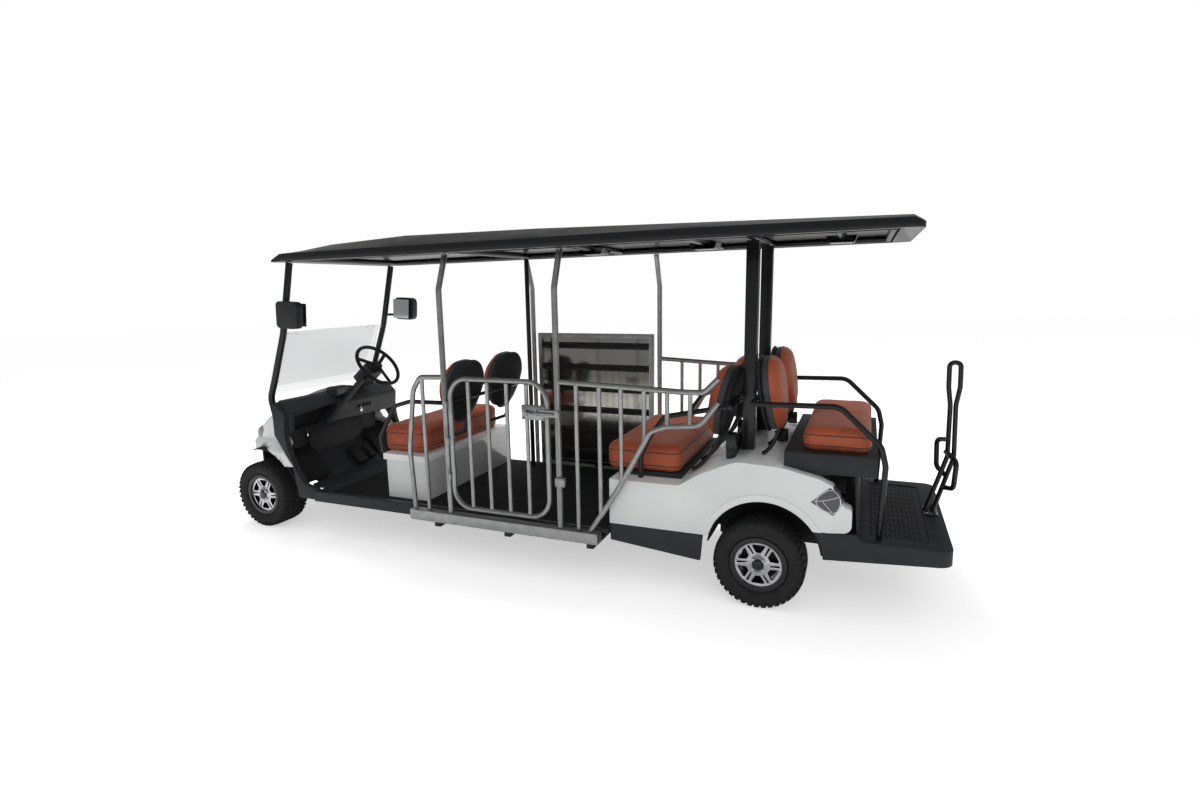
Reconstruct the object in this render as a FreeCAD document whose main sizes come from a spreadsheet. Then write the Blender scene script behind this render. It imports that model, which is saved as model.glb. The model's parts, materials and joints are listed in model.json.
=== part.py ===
"""A long electric golf cart with two forward benches, a rear-facing bench and a boarding ramp.

Axes: X to the cart's left, Y to the rear, Z up, with the origin on the ground at the middle of the
overall box. Millimetres and degrees. Every size is a cell of the sheet "Sizes"; places along the
cart are measured from one of its two axles.
"""
import FreeCAD, Part
import math
import os
import re

import Sketcher
from FreeCAD import Placement, Rotation, Vector

SIZES = {
    # Overall lengths
    "wheelbase": 3470,
    "front_overhang": 450,
    "rear_overhang": 955,
    # Wheels and axles
    "tyre_radius": 235,
    "tyre_width": 205,
    "track": 995,
    "rim_radius": 144,
    "rim_seat_radius": 128,
    "rim_width": 176,
    "rim_wall": 8,
    "hub_radius": 46,
    "spoke_depth": 26,
    "stub_radius": 20,
    "running_fit": 0.05,
    "axle_tube_radius": 30,
    "kingpin_x": 368,
    "kingpin_radius": 11,
    "kingpin_boss": 24,
    "kingpin_height": 96,
    "steering_arm": 90,
    "tie_rod_radius": 9,
    "joint_gap": 0.3,
    # Frame and floor
    "rail_gauge": 480,
    "rail_width": 50,
    "rail_height": 76,
    "front_rise": 70,
    "rear_rise": 110,
    "floor_under": 290,
    "floor_thickness": 25,
    "floor_half_width": 575,
    "body_half_width": 580,
    "panel_wall": 12,
    # Front cowl, dash and posts
    "dash_top": 905,
    "dash_low": 690,
    "nose_low": 556,
    "arch_radius": 325,
    "rear_arch_radius": 292,
    "post_x": 500,
    "post_radius": 22,
    "screen_half_width": 470,
    "screen_thickness": 5,
    "bar_radius": 11,
    # Steering wheel
    "driver_x": 262,
    "steer_y": 375,
    "steer_z": 1076,
    "wheel_rim_radius": 181,
    "wheel_rim_section": 14,
    "column_angle": 40,
    "column_radius": 19,
    # Seats
    "seat_half_width": 520,
    "seat_base_top": 612,
    "cushion_gap": 0.3,
    "back_width": 440,
    "back_height": 430,
    "back_thickness": 115,
    "back_x": 262,
    "arm_x": 495,
    "cushion_half_width": 478,
    "rear_body_low": 360,
    "aft_base_top": 828,
    "aft_box_low": 728,
    # Roof
    "roof_half_width": 600,
    "roof_low": 1852,
    "roof_top": 1984,
    "roof_shoulder": 130,
    "roof_edge": 52,
    "roof_rise": 36,
    "roof_frame_radius": 16,
    # Side rails of aluminium tube
    "rail_x": 620,
    "strut_radius": 17,
    "rail_tube_radius": 15,
    "bar_pitch": 136,
    "sill_low": 250,
    "sill_top": 312,
    "strut_kink": 1655,
    # Gate and ramp
    "gate_strut_y": 1629,
    "gate_length": 640,
    "gate_pin_radius": 5,
    "ramp_pin_radius": 6,
    "gate_low": 352,
    "gate_top": 1141,
    "latch_overhang": 101,
    "ramp_front": 1624,
    "ramp_length": 911,
    "ramp_low": 267,
    "ramp_top": 1319,
    "ramp_thickness": 34,
    # Rear step
    "deck_top": 420,
    "deck_half_width": 568,
    "deck_wall": 14,
    "deck_riser": 473,
    "handle_radius": 12,
    "grip_radius": 13,
}

FRONT = "(-(wheelbase + rear_overhang - front_overhang)/2)"
REAR = f"({FRONT} + wheelbase)"
FLOOR = "(floor_under + floor_thickness)"
RAIL_LOW = "(floor_under - rail_height)"
RAIL_OUTER = "(rail_gauge/2 + rail_width/2)"
LINER = 8
GATE_AXIS_X = "(rail_x + 20)"
GATE_AXIS_Y = f"({FRONT} + gate_strut_y + 19.5)"
GATE_FRONT = f"({FRONT} + gate_strut_y + 37)"
RAMP_AXIS_Z = "(ramp_low + ramp_thickness/2)"
LATCH_STRUT = "(gate_strut_y + gate_length + latch_overhang)"
RAMP_END = "(ramp_front + ramp_length)"

doc = FreeCAD.newDocument("GolfCart")
sheet = doc.addObject("Spreadsheet::Sheet", "Sizes")
for row, (name, number) in enumerate(SIZES.items(), start=1):
    sheet.set(f"A{row}", name)
    sheet.set(f"B{row}", str(number))
    sheet.setAlias(f"B{row}", name)
doc.recompute()

nodes = []
ALIAS = re.compile(r"[A-Za-z_]\w*")


def cells(expression):
    """The expression with each size written as a reference to its cell."""
    return ALIAS.sub(lambda word: "Sizes." + word.group() if word.group() in SIZES else word.group(),
                     str(expression))


def value(expression):
    """What the expression comes to with the sheet as it stands."""
    return float(sheet.evalExpression(cells(expression)))


def bind(thing, prop, expression):
    """Tie one property to an expression of the sheet's cells."""
    thing.setExpression(prop, cells(expression))


def front(offset):
    """A place along the cart, measured rearward from the front axle."""
    return f"({FRONT} + {offset})"


def rear(offset):
    """A place along the cart, measured rearward from the rear axle."""
    return f"({REAR} + {offset})"


def node(shape, label):
    """Mark an object as a finished sub-part under its own name."""
    shape.Label = label
    nodes.append(shape)
    return shape


def place(thing, x=0, y=0, z=0):
    """Tie an object's place to three expressions."""
    for axis, expression in zip("xyz", (x, y, z)):
        bind(thing, f"Placement.Base.{axis}", expression)
    return thing


def box(x0, x1, y0, y1, z0, z1):
    """A block between three pairs of expressions."""
    block = doc.addObject("Part::Box", "Block")
    for prop, low, high in (("Length", x0, x1), ("Width", y0, y1), ("Height", z0, z1)):
        bind(block, prop, f"({high}) - ({low})")
    return place(block, x0, y0, z0)


def rod(axis, radius, low, high, first, second):
    """A round bar along X, Y or Z from low to high, at two other coordinates in axis order."""
    bar = doc.addObject("Part::Cylinder", "Bar")
    bind(bar, "Radius", radius)
    bind(bar, "Height", f"({high}) - ({low})")
    turns = {"X": Rotation(Vector(0, 1, 0), 90), "Y": Rotation(Vector(1, 0, 0), -90), "Z": Rotation()}
    bar.Placement = Placement(Vector(), turns[axis])
    places = {"X": (low, first, second), "Y": (first, low, second), "Z": (first, second, low)}
    return place(bar, *places[axis])


def fuse(*shapes):
    """One solid of several that meet, or one piece of several that stand apart."""
    joined = doc.addObject("Part::MultiFuse", "Joined")
    joined.Shapes = list(shapes)
    joined.Refine = False
    return joined


def cut(base, tool):
    """The base with the tool's room taken out of it."""
    left = doc.addObject("Part::Cut", "Cut")
    left.Base = base
    left.Tool = tool
    left.Refine = False
    return left


def common(*shapes):
    """What several solids share."""
    shared = doc.addObject("Part::MultiCommon", "Shared")
    shared.Shapes = list(shapes)
    shared.Refine = False
    return shared


def mirrored(shape, normal=Vector(1, 0, 0)):
    """The same shape on the other side of the cart."""
    other = doc.addObject("Part::Mirroring", "Mirrored")
    other.Source = shape
    other.Normal = normal
    return other


def both_sides(shape):
    """The shape and its mirror image."""
    return fuse(shape, mirrored(shape))


def new_body(name="Body"):
    """An empty body that may hold pieces that stand apart."""
    body = doc.addObject("PartDesign::Body", name)
    body.AllowCompound = True
    return body


def sketch_on(body, plane, offset=0):
    """A sketch on one of the body's own planes, moved along that plane's normal."""
    sketch = body.newObject("Sketcher::SketchObject", "Sketch")
    planes = [feature for feature in body.Origin.OriginFeatures if feature.Role == plane + "_Plane"]
    sketch.AttachmentSupport = (planes[0], [""])
    sketch.MapMode = "FlatFace"
    bind(sketch, "AttachmentOffset.Base.z", offset)
    return sketch


def outline(sketch, corners, closed=True):
    """Straight sides through the corners, each (across, up) or (across, up, radius of a tangent arc)."""
    count = len(corners)
    spots = [Vector(value(corner[0]), value(corner[1]), 0) for corner in corners]
    arrive, leave, arcs, turns = list(spots), list(spots), {}, {}
    for index, corner in enumerate(corners):
        if len(corner) < 3:
            continue
        radius = value(corner[2])
        back = (spots[index - 1] - spots[index]).normalize()
        ahead = (spots[(index + 1) % count] - spots[index]).normalize()
        half = back.getAngle(ahead) / 2
        centre = spots[index] + (back + ahead).normalize() * (radius / math.sin(half))
        arrive[index] = spots[index] + back * (radius / math.tan(half))
        leave[index] = spots[index] + ahead * (radius / math.tan(half))
        turns[index] = ahead.cross(back).z > 0
        ends = (arrive[index], leave[index]) if turns[index] else (leave[index], arrive[index])
        low, high = (math.atan2(end.y - centre.y, end.x - centre.x) for end in ends)
        arcs[index] = Part.ArcOfCircle(Part.Circle(centre, Vector(0, 0, 1), radius), low,
                                       high if high > low else high + 2 * math.pi)
    sides = count if closed else count - 1
    sketch.addGeometry([Part.LineSegment(leave[side], arrive[(side + 1) % count])
                        for side in range(sides)], False)
    rules, bound = [], []

    def measure(geometry, position, corner):
        for kind, expression in zip(("DistanceX", "DistanceY"), corner):
            bound.append((len(rules), expression))
            rules.append(Sketcher.Constraint(kind, -1, 1, geometry, position, value(expression)))

    for index, corner in enumerate(corners):
        before, after = (index - 1) % count, index
        if index in arcs:
            arc = sketch.addGeometry(arcs[index], False)
            point = sketch.addGeometry(Part.Point(spots[index]), True)
            entry, exit_ = (1, 2) if turns[index] else (2, 1)
            rules.append(Sketcher.Constraint("Tangent", before, 2, arc, entry))
            rules.append(Sketcher.Constraint("Tangent", arc, exit_, after, 1))
            rules.append(Sketcher.Constraint("PointOnObject", point, 1, before))
            rules.append(Sketcher.Constraint("PointOnObject", point, 1, after))
            bound.append((len(rules), corner[2]))
            rules.append(Sketcher.Constraint("Radius", arc, value(corner[2])))
            measure(point, 1, corner)
        elif closed or 0 < index < count - 1:
            rules.append(Sketcher.Constraint("Coincident", before, 2, after, 1))
            measure(after, 1, corner)
        elif index == 0:
            measure(after, 1, corner)
        else:
            measure(before, 2, corner)
    sketch.addConstraint(rules)
    for index, expression in bound:
        if ALIAS.search(str(expression)):
            bind(sketch, f"Constraints[{index}]", expression)
    return sketch


def circle(sketch, across, up, radius):
    """A circle with its centre and radius tied to the sheet."""
    ring = sketch.addGeometry(Part.Circle(Vector(value(across), value(up), 0), Vector(0, 0, 1),
                                          value(radius)), False)
    rules = [("DistanceX", across), ("DistanceY", up)]
    first = sketch.addConstraint([Sketcher.Constraint(kind, -1, 1, ring, 3, value(expression))
                                  for kind, expression in rules]
                                 + [Sketcher.Constraint("Radius", ring, value(radius))])[0]
    for step, expression in enumerate((across, up, radius)):
        if ALIAS.search(str(expression)):
            bind(sketch, f"Constraints[{first + step}]", expression)
    return sketch


def pad(body, sketch, length, both_ways=False):
    """Thicken a sketch along its plane's normal, or half each way."""
    feature = body.newObject("PartDesign::Pad", "Pad")
    feature.Profile = sketch
    feature.Midplane = both_ways
    bind(feature, "Length", length)
    return feature


def pocket(body, sketch, length, both_ways=False, backwards=False):
    """Cut a sketch into the body for a length."""
    feature = body.newObject("PartDesign::Pocket", "Pocket")
    feature.Profile = sketch
    feature.Midplane = both_ways
    feature.Reversed = backwards
    bind(feature, "Length", length)
    return feature


def slab(plane, corners, low, high):
    """A body of one outline, from low to high along the plane's normal.

    Outlines are given in (y, z) on YZ, (x, y) on XY and (x, z) on XZ, whose normal is -Y.
    """
    body = new_body()
    start = f"-({high})" if plane == "XZ" else low
    sketch = outline(sketch_on(body, plane, start), corners)
    pad(body, sketch, f"({high}) - ({low})")
    return body


def first_lean(corners):
    """The angle of a bent line's first run from the upright, in its own plane."""
    (across, up), (next_across, next_up) = (map(value, corner[:2]) for corner in corners[:2])
    return math.degrees(math.atan2(next_across - across, next_up - up))


def pipe(body, plane, offset, corners, radius, start, turn):
    """A round tube along a bent line, with its section drawn square to the line's first run."""
    spine = outline(sketch_on(body, plane, offset), corners, closed=False)
    section = sketch_on(body, "XY")
    section.AttachmentOffset = Placement(Vector(), turn)
    for axis, expression in zip("xyz", start):
        bind(section, f"AttachmentOffset.Base.{axis}", expression)
    feature = body.newObject("PartDesign::AdditivePipe", "Tube")
    feature.Profile = circle(section, 0, 0, radius)
    feature.Spine = (spine, [])
    return body


def side_tube(x, corners, radius):
    """A tube bent in a plane along the cart at x, through (y, z) corners."""
    return pipe(new_body("Tube"), "YZ", x, corners, radius, (x, *corners[0][:2]),
                Rotation(Vector(1, 0, 0), -first_lean(corners)))


def cross_tube(y, corners, radius):
    """A tube bent in a plane across the cart at y, through (x, z) corners."""
    return pipe(new_body("Tube"), "XZ", f"-({y})", corners, radius, (corners[0][0], y, corners[0][1]),
                Rotation(Vector(0, 1, 0), first_lean(corners)))


def turned(corners, axis="H_Axis"):
    """A body turned round the X axis from an outline in (x, distance from the axis)."""
    body = new_body()
    sketch = outline(sketch_on(body, "XY"), corners)
    feature = body.newObject("PartDesign::Revolution", "Turned")
    feature.Profile = sketch
    feature.ReferenceAxis = (sketch, [axis])
    feature.Angle = 360
    return body


def chassis_frame():
    """Two welded rails that rise over both axles, with cross members and outriggers."""
    low, top = RAIL_LOW, "floor_under"
    profile = [(front(-340), f"{low} + front_rise"), (front(130), f"{low} + front_rise"), (front(300), low),
               (rear(-470), low), (rear(-300), f"{low} + rear_rise"), (rear(780), f"{low} + rear_rise"),
               (rear(780), f"{top} + rear_rise"), (rear(-320), f"{top} + rear_rise"), (rear(-490), top),
               (front(320), top), (front(150), f"{top} + front_rise"), (front(-340), f"{top} + front_rise")]
    rail = slab("YZ", profile, "(rail_gauge - rail_width)/2", RAIL_OUTER)
    members = [box("-rail_gauge/2", "rail_gauge/2", y, f"{y} + 45", f"{low} + {rise} + 12",
                   f"{top} + {rise} - 12")
               for y, rise in ((front(-335), "front_rise"), (front(430), 0), (front(1400), 0),
                               (front(2040), 0), (rear(-760), 0), (rear(-265), "rear_rise"),
                               (rear(420), "rear_rise"), (rear(730), "rear_rise"))]
    arms = [box("-rail_x - 40", "rail_x + 40", y, f"{y} + 40", "sill_low - 26", "sill_low")
            for y in (front(1530), front(2020), front(2545))]
    return node(fuse(rail, mirrored(rail), *members, *arms), "chassis_frame")


def floor_deck():
    """The flat floor from the toe board to the rear body, with its raised toe board."""
    step = "post_x - 45.3"
    flat = slab("XY", [("-floor_half_width", front(504.5)), (f"-({step})", front(504.5)),
                       (f"-({step})", front(345)), (step, front(345)), (step, front(504.5)),
                       ("floor_half_width", front(504.5)), ("floor_half_width", rear(-824)),
                       ("-floor_half_width", rear(-824))], "floor_under", FLOOR)
    toe = slab("YZ", [(front(345), "floor_under"), (front(345), FLOOR), (front(160), f"{FLOOR} + 170"),
                      (front(160), "dash_low - joint_gap"), (front(140), "dash_low - joint_gap"),
                      (front(140), f"{FLOOR} + 160"), (front(325), "floor_under")],
               f"-{RAIL_OUTER} - 3", f"{RAIL_OUTER} + 3")
    return node(fuse(flat, toe), "floor_deck")


def side_skirts():
    """Black plastic rockers under the front doorways and tapering panels under the rear body."""
    rocker = slab("YZ", [(front(505), "sill_low"), (front(1345), "sill_low"), (front(1345), "sill_top + 8"),
                         (front(505), "sill_top + 8")], "floor_half_width + joint_gap",
                  "floor_half_width + 28")
    tail = slab("YZ", [(rear(-812), "sill_low + 12"), (rear(-305), "sill_low - 38"),
                       (rear(-292), "rear_body_low - joint_gap"), (rear(-812), "rear_body_low - joint_gap")],
                "body_half_width - 24", "body_half_width - 2")
    return node(both_sides(fuse(rocker, tail)), "side_skirts")


def crowned_section(body, y, inset, half, low, shoulder, upper, side, top):
    """A cross section with wide fenders up to the shoulder and a narrower, crowned hood."""
    right = [(f"{half} - {inset}", f"{low} - {inset}"), (f"{half} - {inset}", f"{shoulder} - {inset}", 20),
             (f"{upper} - {inset}", f"{shoulder} + 56 - {inset}", 20),
             (f"{upper} - {inset}", f"{side} - {inset}", 40)]
    left = [(f"-({x})", *rest) for x, *rest in reversed(right)]
    return outline(sketch_on(body, "XZ", f"-({y})"), [*right, (0, f"{top} - {inset}", 900), *left])


def loft(body, sections):
    """A smooth skin through the sections."""
    feature = body.newObject("PartDesign::AdditiveLoft", "Loft")
    feature.Profile = sections[0]
    feature.Sections = sections[1:]
    return feature


def wheel_rooms(axle_y, radius, inner):
    """The round room over both wheels of an axle, outward from the inner face."""
    drum = rod("X", radius, inner, "roof_half_width + 100", axle_y, "tyre_radius")
    return both_sides(drum)


NOSE = [(-450, 150, 480, 500, 120, 592, 600), (-425, 225, 476, 505, 190, 608, 620),
        (-345, 355, 468, 520, 290, 640, 664), (-230, 440, 465, 535, 365, 675, 718),
        (-80, 515, 465, 550, 425, 748, 820), (120, 578, 465, 560, 472, 860, 945),
        (310, 580, 465, 560, 472, 905, 1000)]


def nose_skin(inset, start):
    """The nose's outer form, drawn inward by an inset."""
    body = new_body("Nose")
    loft(body, [crowned_section(body, front(f"{y} + {start}"), inset, *sizes) for y, *sizes in NOSE])
    return body


def lamp_room():
    """The room for a headlamp at each corner of the nose."""
    zone = slab("YZ", [(front(-370), 585, 12), (front(-190), 600, 15), (front(-120), 690, 20),
                       (front(-300), 672, 15)], 225, 600)
    return both_sides(zone)


def front_cowl():
    """The white nose with its fenders, cut to the wheel rooms and to the doorway's front edge."""
    behind = slab("YZ", [(front(119), 1100), (front(119), 744), (front(222), 590), (front(306), 472),
                         (front(306), 400), (front(700), 400), (front(700), 1100)], -700, 700)
    skin = cut(nose_skin(0, 0), behind)
    shell = cut(skin, nose_skin("panel_wall", "panel_wall + 6"))
    rooms = wheel_rooms(front(0), f"arch_radius + {LINER} + joint_gap", f"{RAIL_OUTER} + 4")
    sides = both_sides(slab("XY", [(275, front(-500)), (700, front(-500)), (700, front(0)), (275, front(0))],
                            400, "nose_low"))
    arched = cut(shell, fuse(rooms, sides))
    lamps = node(common(skin, lamp_room()), "headlamps")
    return node(cut(arched, lamps), "front_cowl")


def front_bumper():
    """The black lower nose and the liners round both front wheels."""
    lip = slab("XY", [(-262, front(-340.3)), (-250, front(-370), 20), (-150, front(-415), 60),
                      (150, front(-415), 60), (250, front(-370), 20), (262, front(-340.3))], 300, 459.7)
    inner = f"{RAIL_OUTER} + 4"
    shell = cut(rod("X", f"arch_radius + {LINER}", inner, "body_half_width - 12", front(0), "tyre_radius"),
                rod("X", "arch_radius", f"{inner} + {LINER}", "body_half_width", front(0), "tyre_radius"))
    behind = box(inner, "body_half_width", front(-70), front(400), 330, 700)
    return node(fuse(lip, both_sides(common(shell, behind))), "front_bumper")


def dash_panel():
    """The black dash with its long open tray, and the strips that frame both doorways down to the floor."""
    strip = slab("YZ", [(front(119.3), 744), (front(119.3), "dash_top"), (front(180), 900, 30),
                        (front(268), 826, 30), (front(256), 700, 60), (front(272), 590, 80),
                        (front(325), 450, 120), (front(400), 345, 60), (front(504), "sill_top + 8"),
                        (front(504), "sill_low"), (front(340), "sill_low"), (front(306.4), 472),
                        (front(222.4), 590)], "post_x + 37", "body_half_width - 3")
    board = slab("YZ", [(front(119.3), "dash_low"), (front(119.3), "dash_top"), (front(190), "dash_top", 40),
                        (front(292), 830, 30), (front(285), "dash_low", 20)], "-post_x - 37", "post_x + 37")
    tray = slab("XZ", [(515, 704, 15), (238, 712, 15), (62, 842, 15), (515, 808, 15)], front(175), front(400))
    brace = slab("XZ", [(211, 690), (232, 718), ("-driver_x + 66", 1002), ("-driver_x + 66", 964)],
                 front(262), front(298))
    pod = slab("XZ", [(-104, "dash_top - 25"), (-104, "dash_top + 34", 30), (88, "dash_top + 40", 30),
                      (88, "dash_top - 25")], front(170), front(262))
    notch = both_sides(slab("YZ", [(front(100), 744.3), (front(119.3), 744.3), (front(222.3), 590.2),
                                   (front(222.3), 500), (front(100), 500)], "post_x - 45", "post_x + 37"))
    bulkhead = both_sides(fuse(box(f"{RAIL_OUTER} + 6", "post_x - 50", front(119.3), front(139), 430,
                                   "dash_low + 5"),
                               box("post_x - 55", "post_x + 40", front(119.3), front(139), 430, 545)))
    framed = fuse(strip, mirrored(strip), cut(cut(board, tray), notch), bulkhead, brace, pod)
    posts = both_sides(box("post_x - post_radius - joint_gap", 700, front(0), front(163), 622, 1000))
    wells = wheel_rooms(front(0), f"arch_radius + {LINER} + joint_gap", "rail_gauge/2")
    return node(cut(framed, fuse(wells, posts)), "dash_panel")


def toe_point(along, out):
    """A place on the toe board: along its slope from the floor, and out from its face."""
    return front(345 - 0.736 * along + 0.677 * out), f"{FLOOR} + {0.676 * along + 0.737 * out}"


def pedals():
    """The brake and the accelerator: flat treads hinged at the foot of the toe board."""
    pieces = []
    for x0, x1, low, high in ((-105, -5, 18, 182), ("-driver_x + 48", "-driver_x + 112", 40, 165)):
        tread = slab("YZ", [toe_point(low, 26), toe_point(low, 36), toe_point(high, 36), toe_point(high, 26)],
                     x0, x1)
        foot = slab("YZ", [toe_point(low, 0.2), toe_point(low, 28), toe_point(low + 18, 28),
                           toe_point(low + 18, 0.2)], x0, x1)
        pieces.append(fuse(tread, foot))
    return node(fuse(*pieces), "pedals")


def front_post(radius):
    """One bent front post from the dash's side frame to the roof."""
    return side_tube("post_x", [(front(131), 636), (front(117), 744, 200), (front(77), 925, 120),
                                (front(133), 1055, 150), (front(255), 1373, 500),
                                (front(370), "roof_low - 7")], radius)


def pane(low_y, low_z, high_y, high_z):
    """A flat pane that leans between two heights."""
    half = "screen_thickness/2"
    return slab("YZ", [(f"{low_y} - {half}", low_z), (f"{low_y} + {half}", low_z),
                       (f"{high_y} + {half}", high_z), (f"{high_y} - {half}", high_z)],
                "-screen_half_width", "screen_half_width")


def windscreen_lower():
    """The fixed lower pane, its hinge bar between the posts and its lower rail."""
    glass = pane(front(92), 958, front(226), 1360)
    bar = rod("X", "bar_radius", "-post_x + post_radius + joint_gap", "post_x - post_radius - joint_gap",
              front(255), 1373)
    clips = [box(f"{x} - 20", f"{x} + 20", front(218), front(256), 1358, 1380)
             for x in ("-screen_half_width + 120", "screen_half_width - 120")]
    rail = box("-screen_half_width", "screen_half_width", front(80), front(102), 944, 960)
    return node(fuse(glass, bar, rail, *clips), "windscreen_lower")


def windscreen_upper():
    """The folding upper pane, which hangs in front of the lower one."""
    glass = pane(front(40), 1012, front(196), 1385)
    rail = box("-screen_half_width", "screen_half_width", front(30), front(48), 996, 1014)
    lugs = [box(f"{x} - 20", f"{x} + 20", front(192), front("255 - bar_radius - joint_gap"), 1368, 1378)
            for x in ("-screen_half_width + 40", "screen_half_width - 40")]
    return node(fuse(glass, rail, *lugs), "windscreen_upper")


def mirrors():
    """Two door mirrors on short arms from the front posts."""
    head = slab("YZ", [(front(330), 1425, 30), (front(505), 1415, 40), (front(520), 1590, 40),
                       (front(340), 1600, 30)], "post_x + 60", "post_x + 115")
    arm = side_arm(9, "post_x + post_radius + joint_gap", "post_x + 62", front(284), 1460)
    stay = box("post_x + 42", "post_x + 62", front(275), front(352), 1451, 1469)
    return node(both_sides(fuse(head, arm, stay)), "mirrors")


def side_arm(radius, x0, x1, y, z):
    """A short round arm across the cart."""
    return rod("X", radius, x0, x1, y, z)


def steering_tilt(shape):
    """Set a piece drawn on an upright column into the steering wheel's place and lean."""
    holder = doc.addObject("Part::MultiFuse", "Tilted")
    holder.Shapes = [shape, rod("Z", 1, -8, -4, 0, 0)]
    holder.Placement = Placement(Vector(), Rotation(Vector(1, 0, 0), -(90 - value("column_angle"))))
    return place(holder, "-driver_x", front("steer_y"), "steer_z")


def steering_column():
    """The column tower behind the wheel, down to the dash top."""
    column = rod("Z", "column_radius", -262, "-20 - joint_gap", 0, 0)
    shroud = box(-62, 62, -60, 40, -215, -40)
    tower = fuse(column, shroud)
    tower.Placement = Placement(Vector(), Rotation(Vector(1, 0, 0), -(90 - value("column_angle"))))
    place(tower, "-driver_x", front("steer_y"), "steer_z")
    above = box("-driver_x - 200", "-driver_x + 200", front(110), front(600), "dash_top + joint_gap", 1500)
    return node(common(tower, above), "steering_column")


def steering_wheel():
    """The round rim on three flat spokes and a hub."""
    rim = doc.addObject("Part::Torus", "Rim")
    bind(rim, "Radius1", "wheel_rim_radius")
    bind(rim, "Radius2", "wheel_rim_section")
    hub = rod("Z", 34, -20, 10, 0, 0)
    body = new_body("Spokes")
    spoke = outline(sketch_on(body, "XY", -6), [(-14, 0), (14, 0), (14, "wheel_rim_radius - 2"),
                                                (-14, "wheel_rim_radius - 2")])
    arm = pad(body, spoke, 9)
    pattern = body.newObject("PartDesign::PolarPattern", "Arms")
    pattern.Originals = [arm]
    pattern.Axis = (spoke, ["N_Axis"])
    pattern.Angle = 360
    pattern.Occurrences = 3
    body.Tip = pattern
    return node(steering_tilt(fuse(rim, hub, body)), "steering_wheel")


def front_seat_base():
    """The white box under the front bench, with its lip."""
    walls = box("-seat_half_width + 14", "seat_half_width - 14", front(1062), front(1372), FLOOR,
                "seat_base_top - 38")
    lip = box("-seat_half_width", "seat_half_width", front(1048), front(1380), "seat_base_top - 40",
              "seat_base_top")
    room = box("-seat_half_width + 26", "seat_half_width - 26", front(1074), front(1360),
               "floor_under", "seat_base_top - 60")
    return node(cut(fuse(walls, lip), room), "front_seat_base")


def cushion(label, x_half, y0, y1, z0, z1, soft=45):
    """A bench cushion: one block with round long edges."""
    block = slab("YZ", [(y0, z0, 12), (y1, z0, 12), (y1, z1, soft), (y0, z1, soft)], f"-({x_half})", x_half)
    return node(block, label)


def back_pair(y, z, lean):
    """Two bucket backs side by side, whose tops lean to the rear by an angle."""
    body = new_body("Backs")
    for x in ("-back_x", "back_x"):
        half = "back_width/2"
        corners = [(f"{x} - {half} + 40", 0, 40), (f"{x} + {half} - 40", 0, 40),
                   (f"{x} + {half}", "back_height/2", 150), (f"{x} + {half} - 60", "back_height", 100),
                   (f"{x} - {half} + 60", "back_height", 100), (f"{x} - {half}", "back_height/2", 150)]
        sketch = outline(sketch_on(body, "XZ", "-back_thickness/2"), corners)
        pad(body, sketch, "back_thickness")
    body.Placement = Placement(Vector(), Rotation(Vector(1, 0, 0), -lean))
    return place(body, 0, y, z)


def seat_backs():
    """The six bucket backs: two pairs that face forward and one that faces the rear."""
    return node(fuse(back_pair(front(1455.6), 800, 12), back_pair(rear(-289), 820, 12),
                     back_pair(rear(39.2), 870, -8)), "seat_backs")


def front_back_frame():
    """Two bent tubes from the front seat base up behind the backs, and the rod that takes the armrests."""
    tubes = [side_tube(x, [(front(1367), "seat_base_top"), (front(1367), 690, 50), (front(1516), 742, 30),
                           (front(1568), 985)], 12) for x in ("-back_x", "back_x")]
    return fuse(*tubes, rod("X", 12, "-arm_x - 12", "arm_x + 12", front(1562), 965))


def middle_back_frame():
    """The rod behind the middle backs, held on blocks from the rear roof posts."""
    bar = rod("X", 12, "-arm_x - 12", "arm_x + 12", rear(-172), 1035)
    blocks = [box(f"{x} - 20", f"{x} + 20", rear(-172), rear(-142), 1025, 1045)
              for x in ("-back_x", "back_x")]
    return fuse(bar, *blocks)


def armrests():
    """A bent tube at each end of both forward benches."""
    first = side_tube("arm_x", [(front(1030), "seat_base_top"), (front(1018), 720, 60),
                                (front(1150), 925, 60), (front(1270), 960, 90), (front(1549.7), 965)], 14)
    second = side_tube("arm_x", [(rear(-660), "seat_base_top + 2.3"), (rear(-660), 740, 90),
                                 (rear(-606), 850, 80), (rear(-523), 965, 80), (rear(-187), 1035)], 14)
    return node(both_sides(fuse(first, second)), "armrests")


def aft_seat_block():
    """The outer form of the black box under the rear-facing bench."""
    return slab("YZ", [(rear(105), 712, 15), (rear(170), 690, 30), (rear(330), "aft_box_low", 80),
                       (rear(540), "aft_box_low"), (rear(540), "aft_base_top"), (rear(105), "aft_base_top")],
                "-seat_half_width + 6", "seat_half_width - 6")


def tail_lamp_outline():
    """The tail lamp's outline at the rear corner of the body."""
    return [(rear(238), 598, 6), (rear(331), 690, 10), (rear(378), 655, 15), (rear(394), 596, 12),
            (rear(353), 534, 15)]


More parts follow.
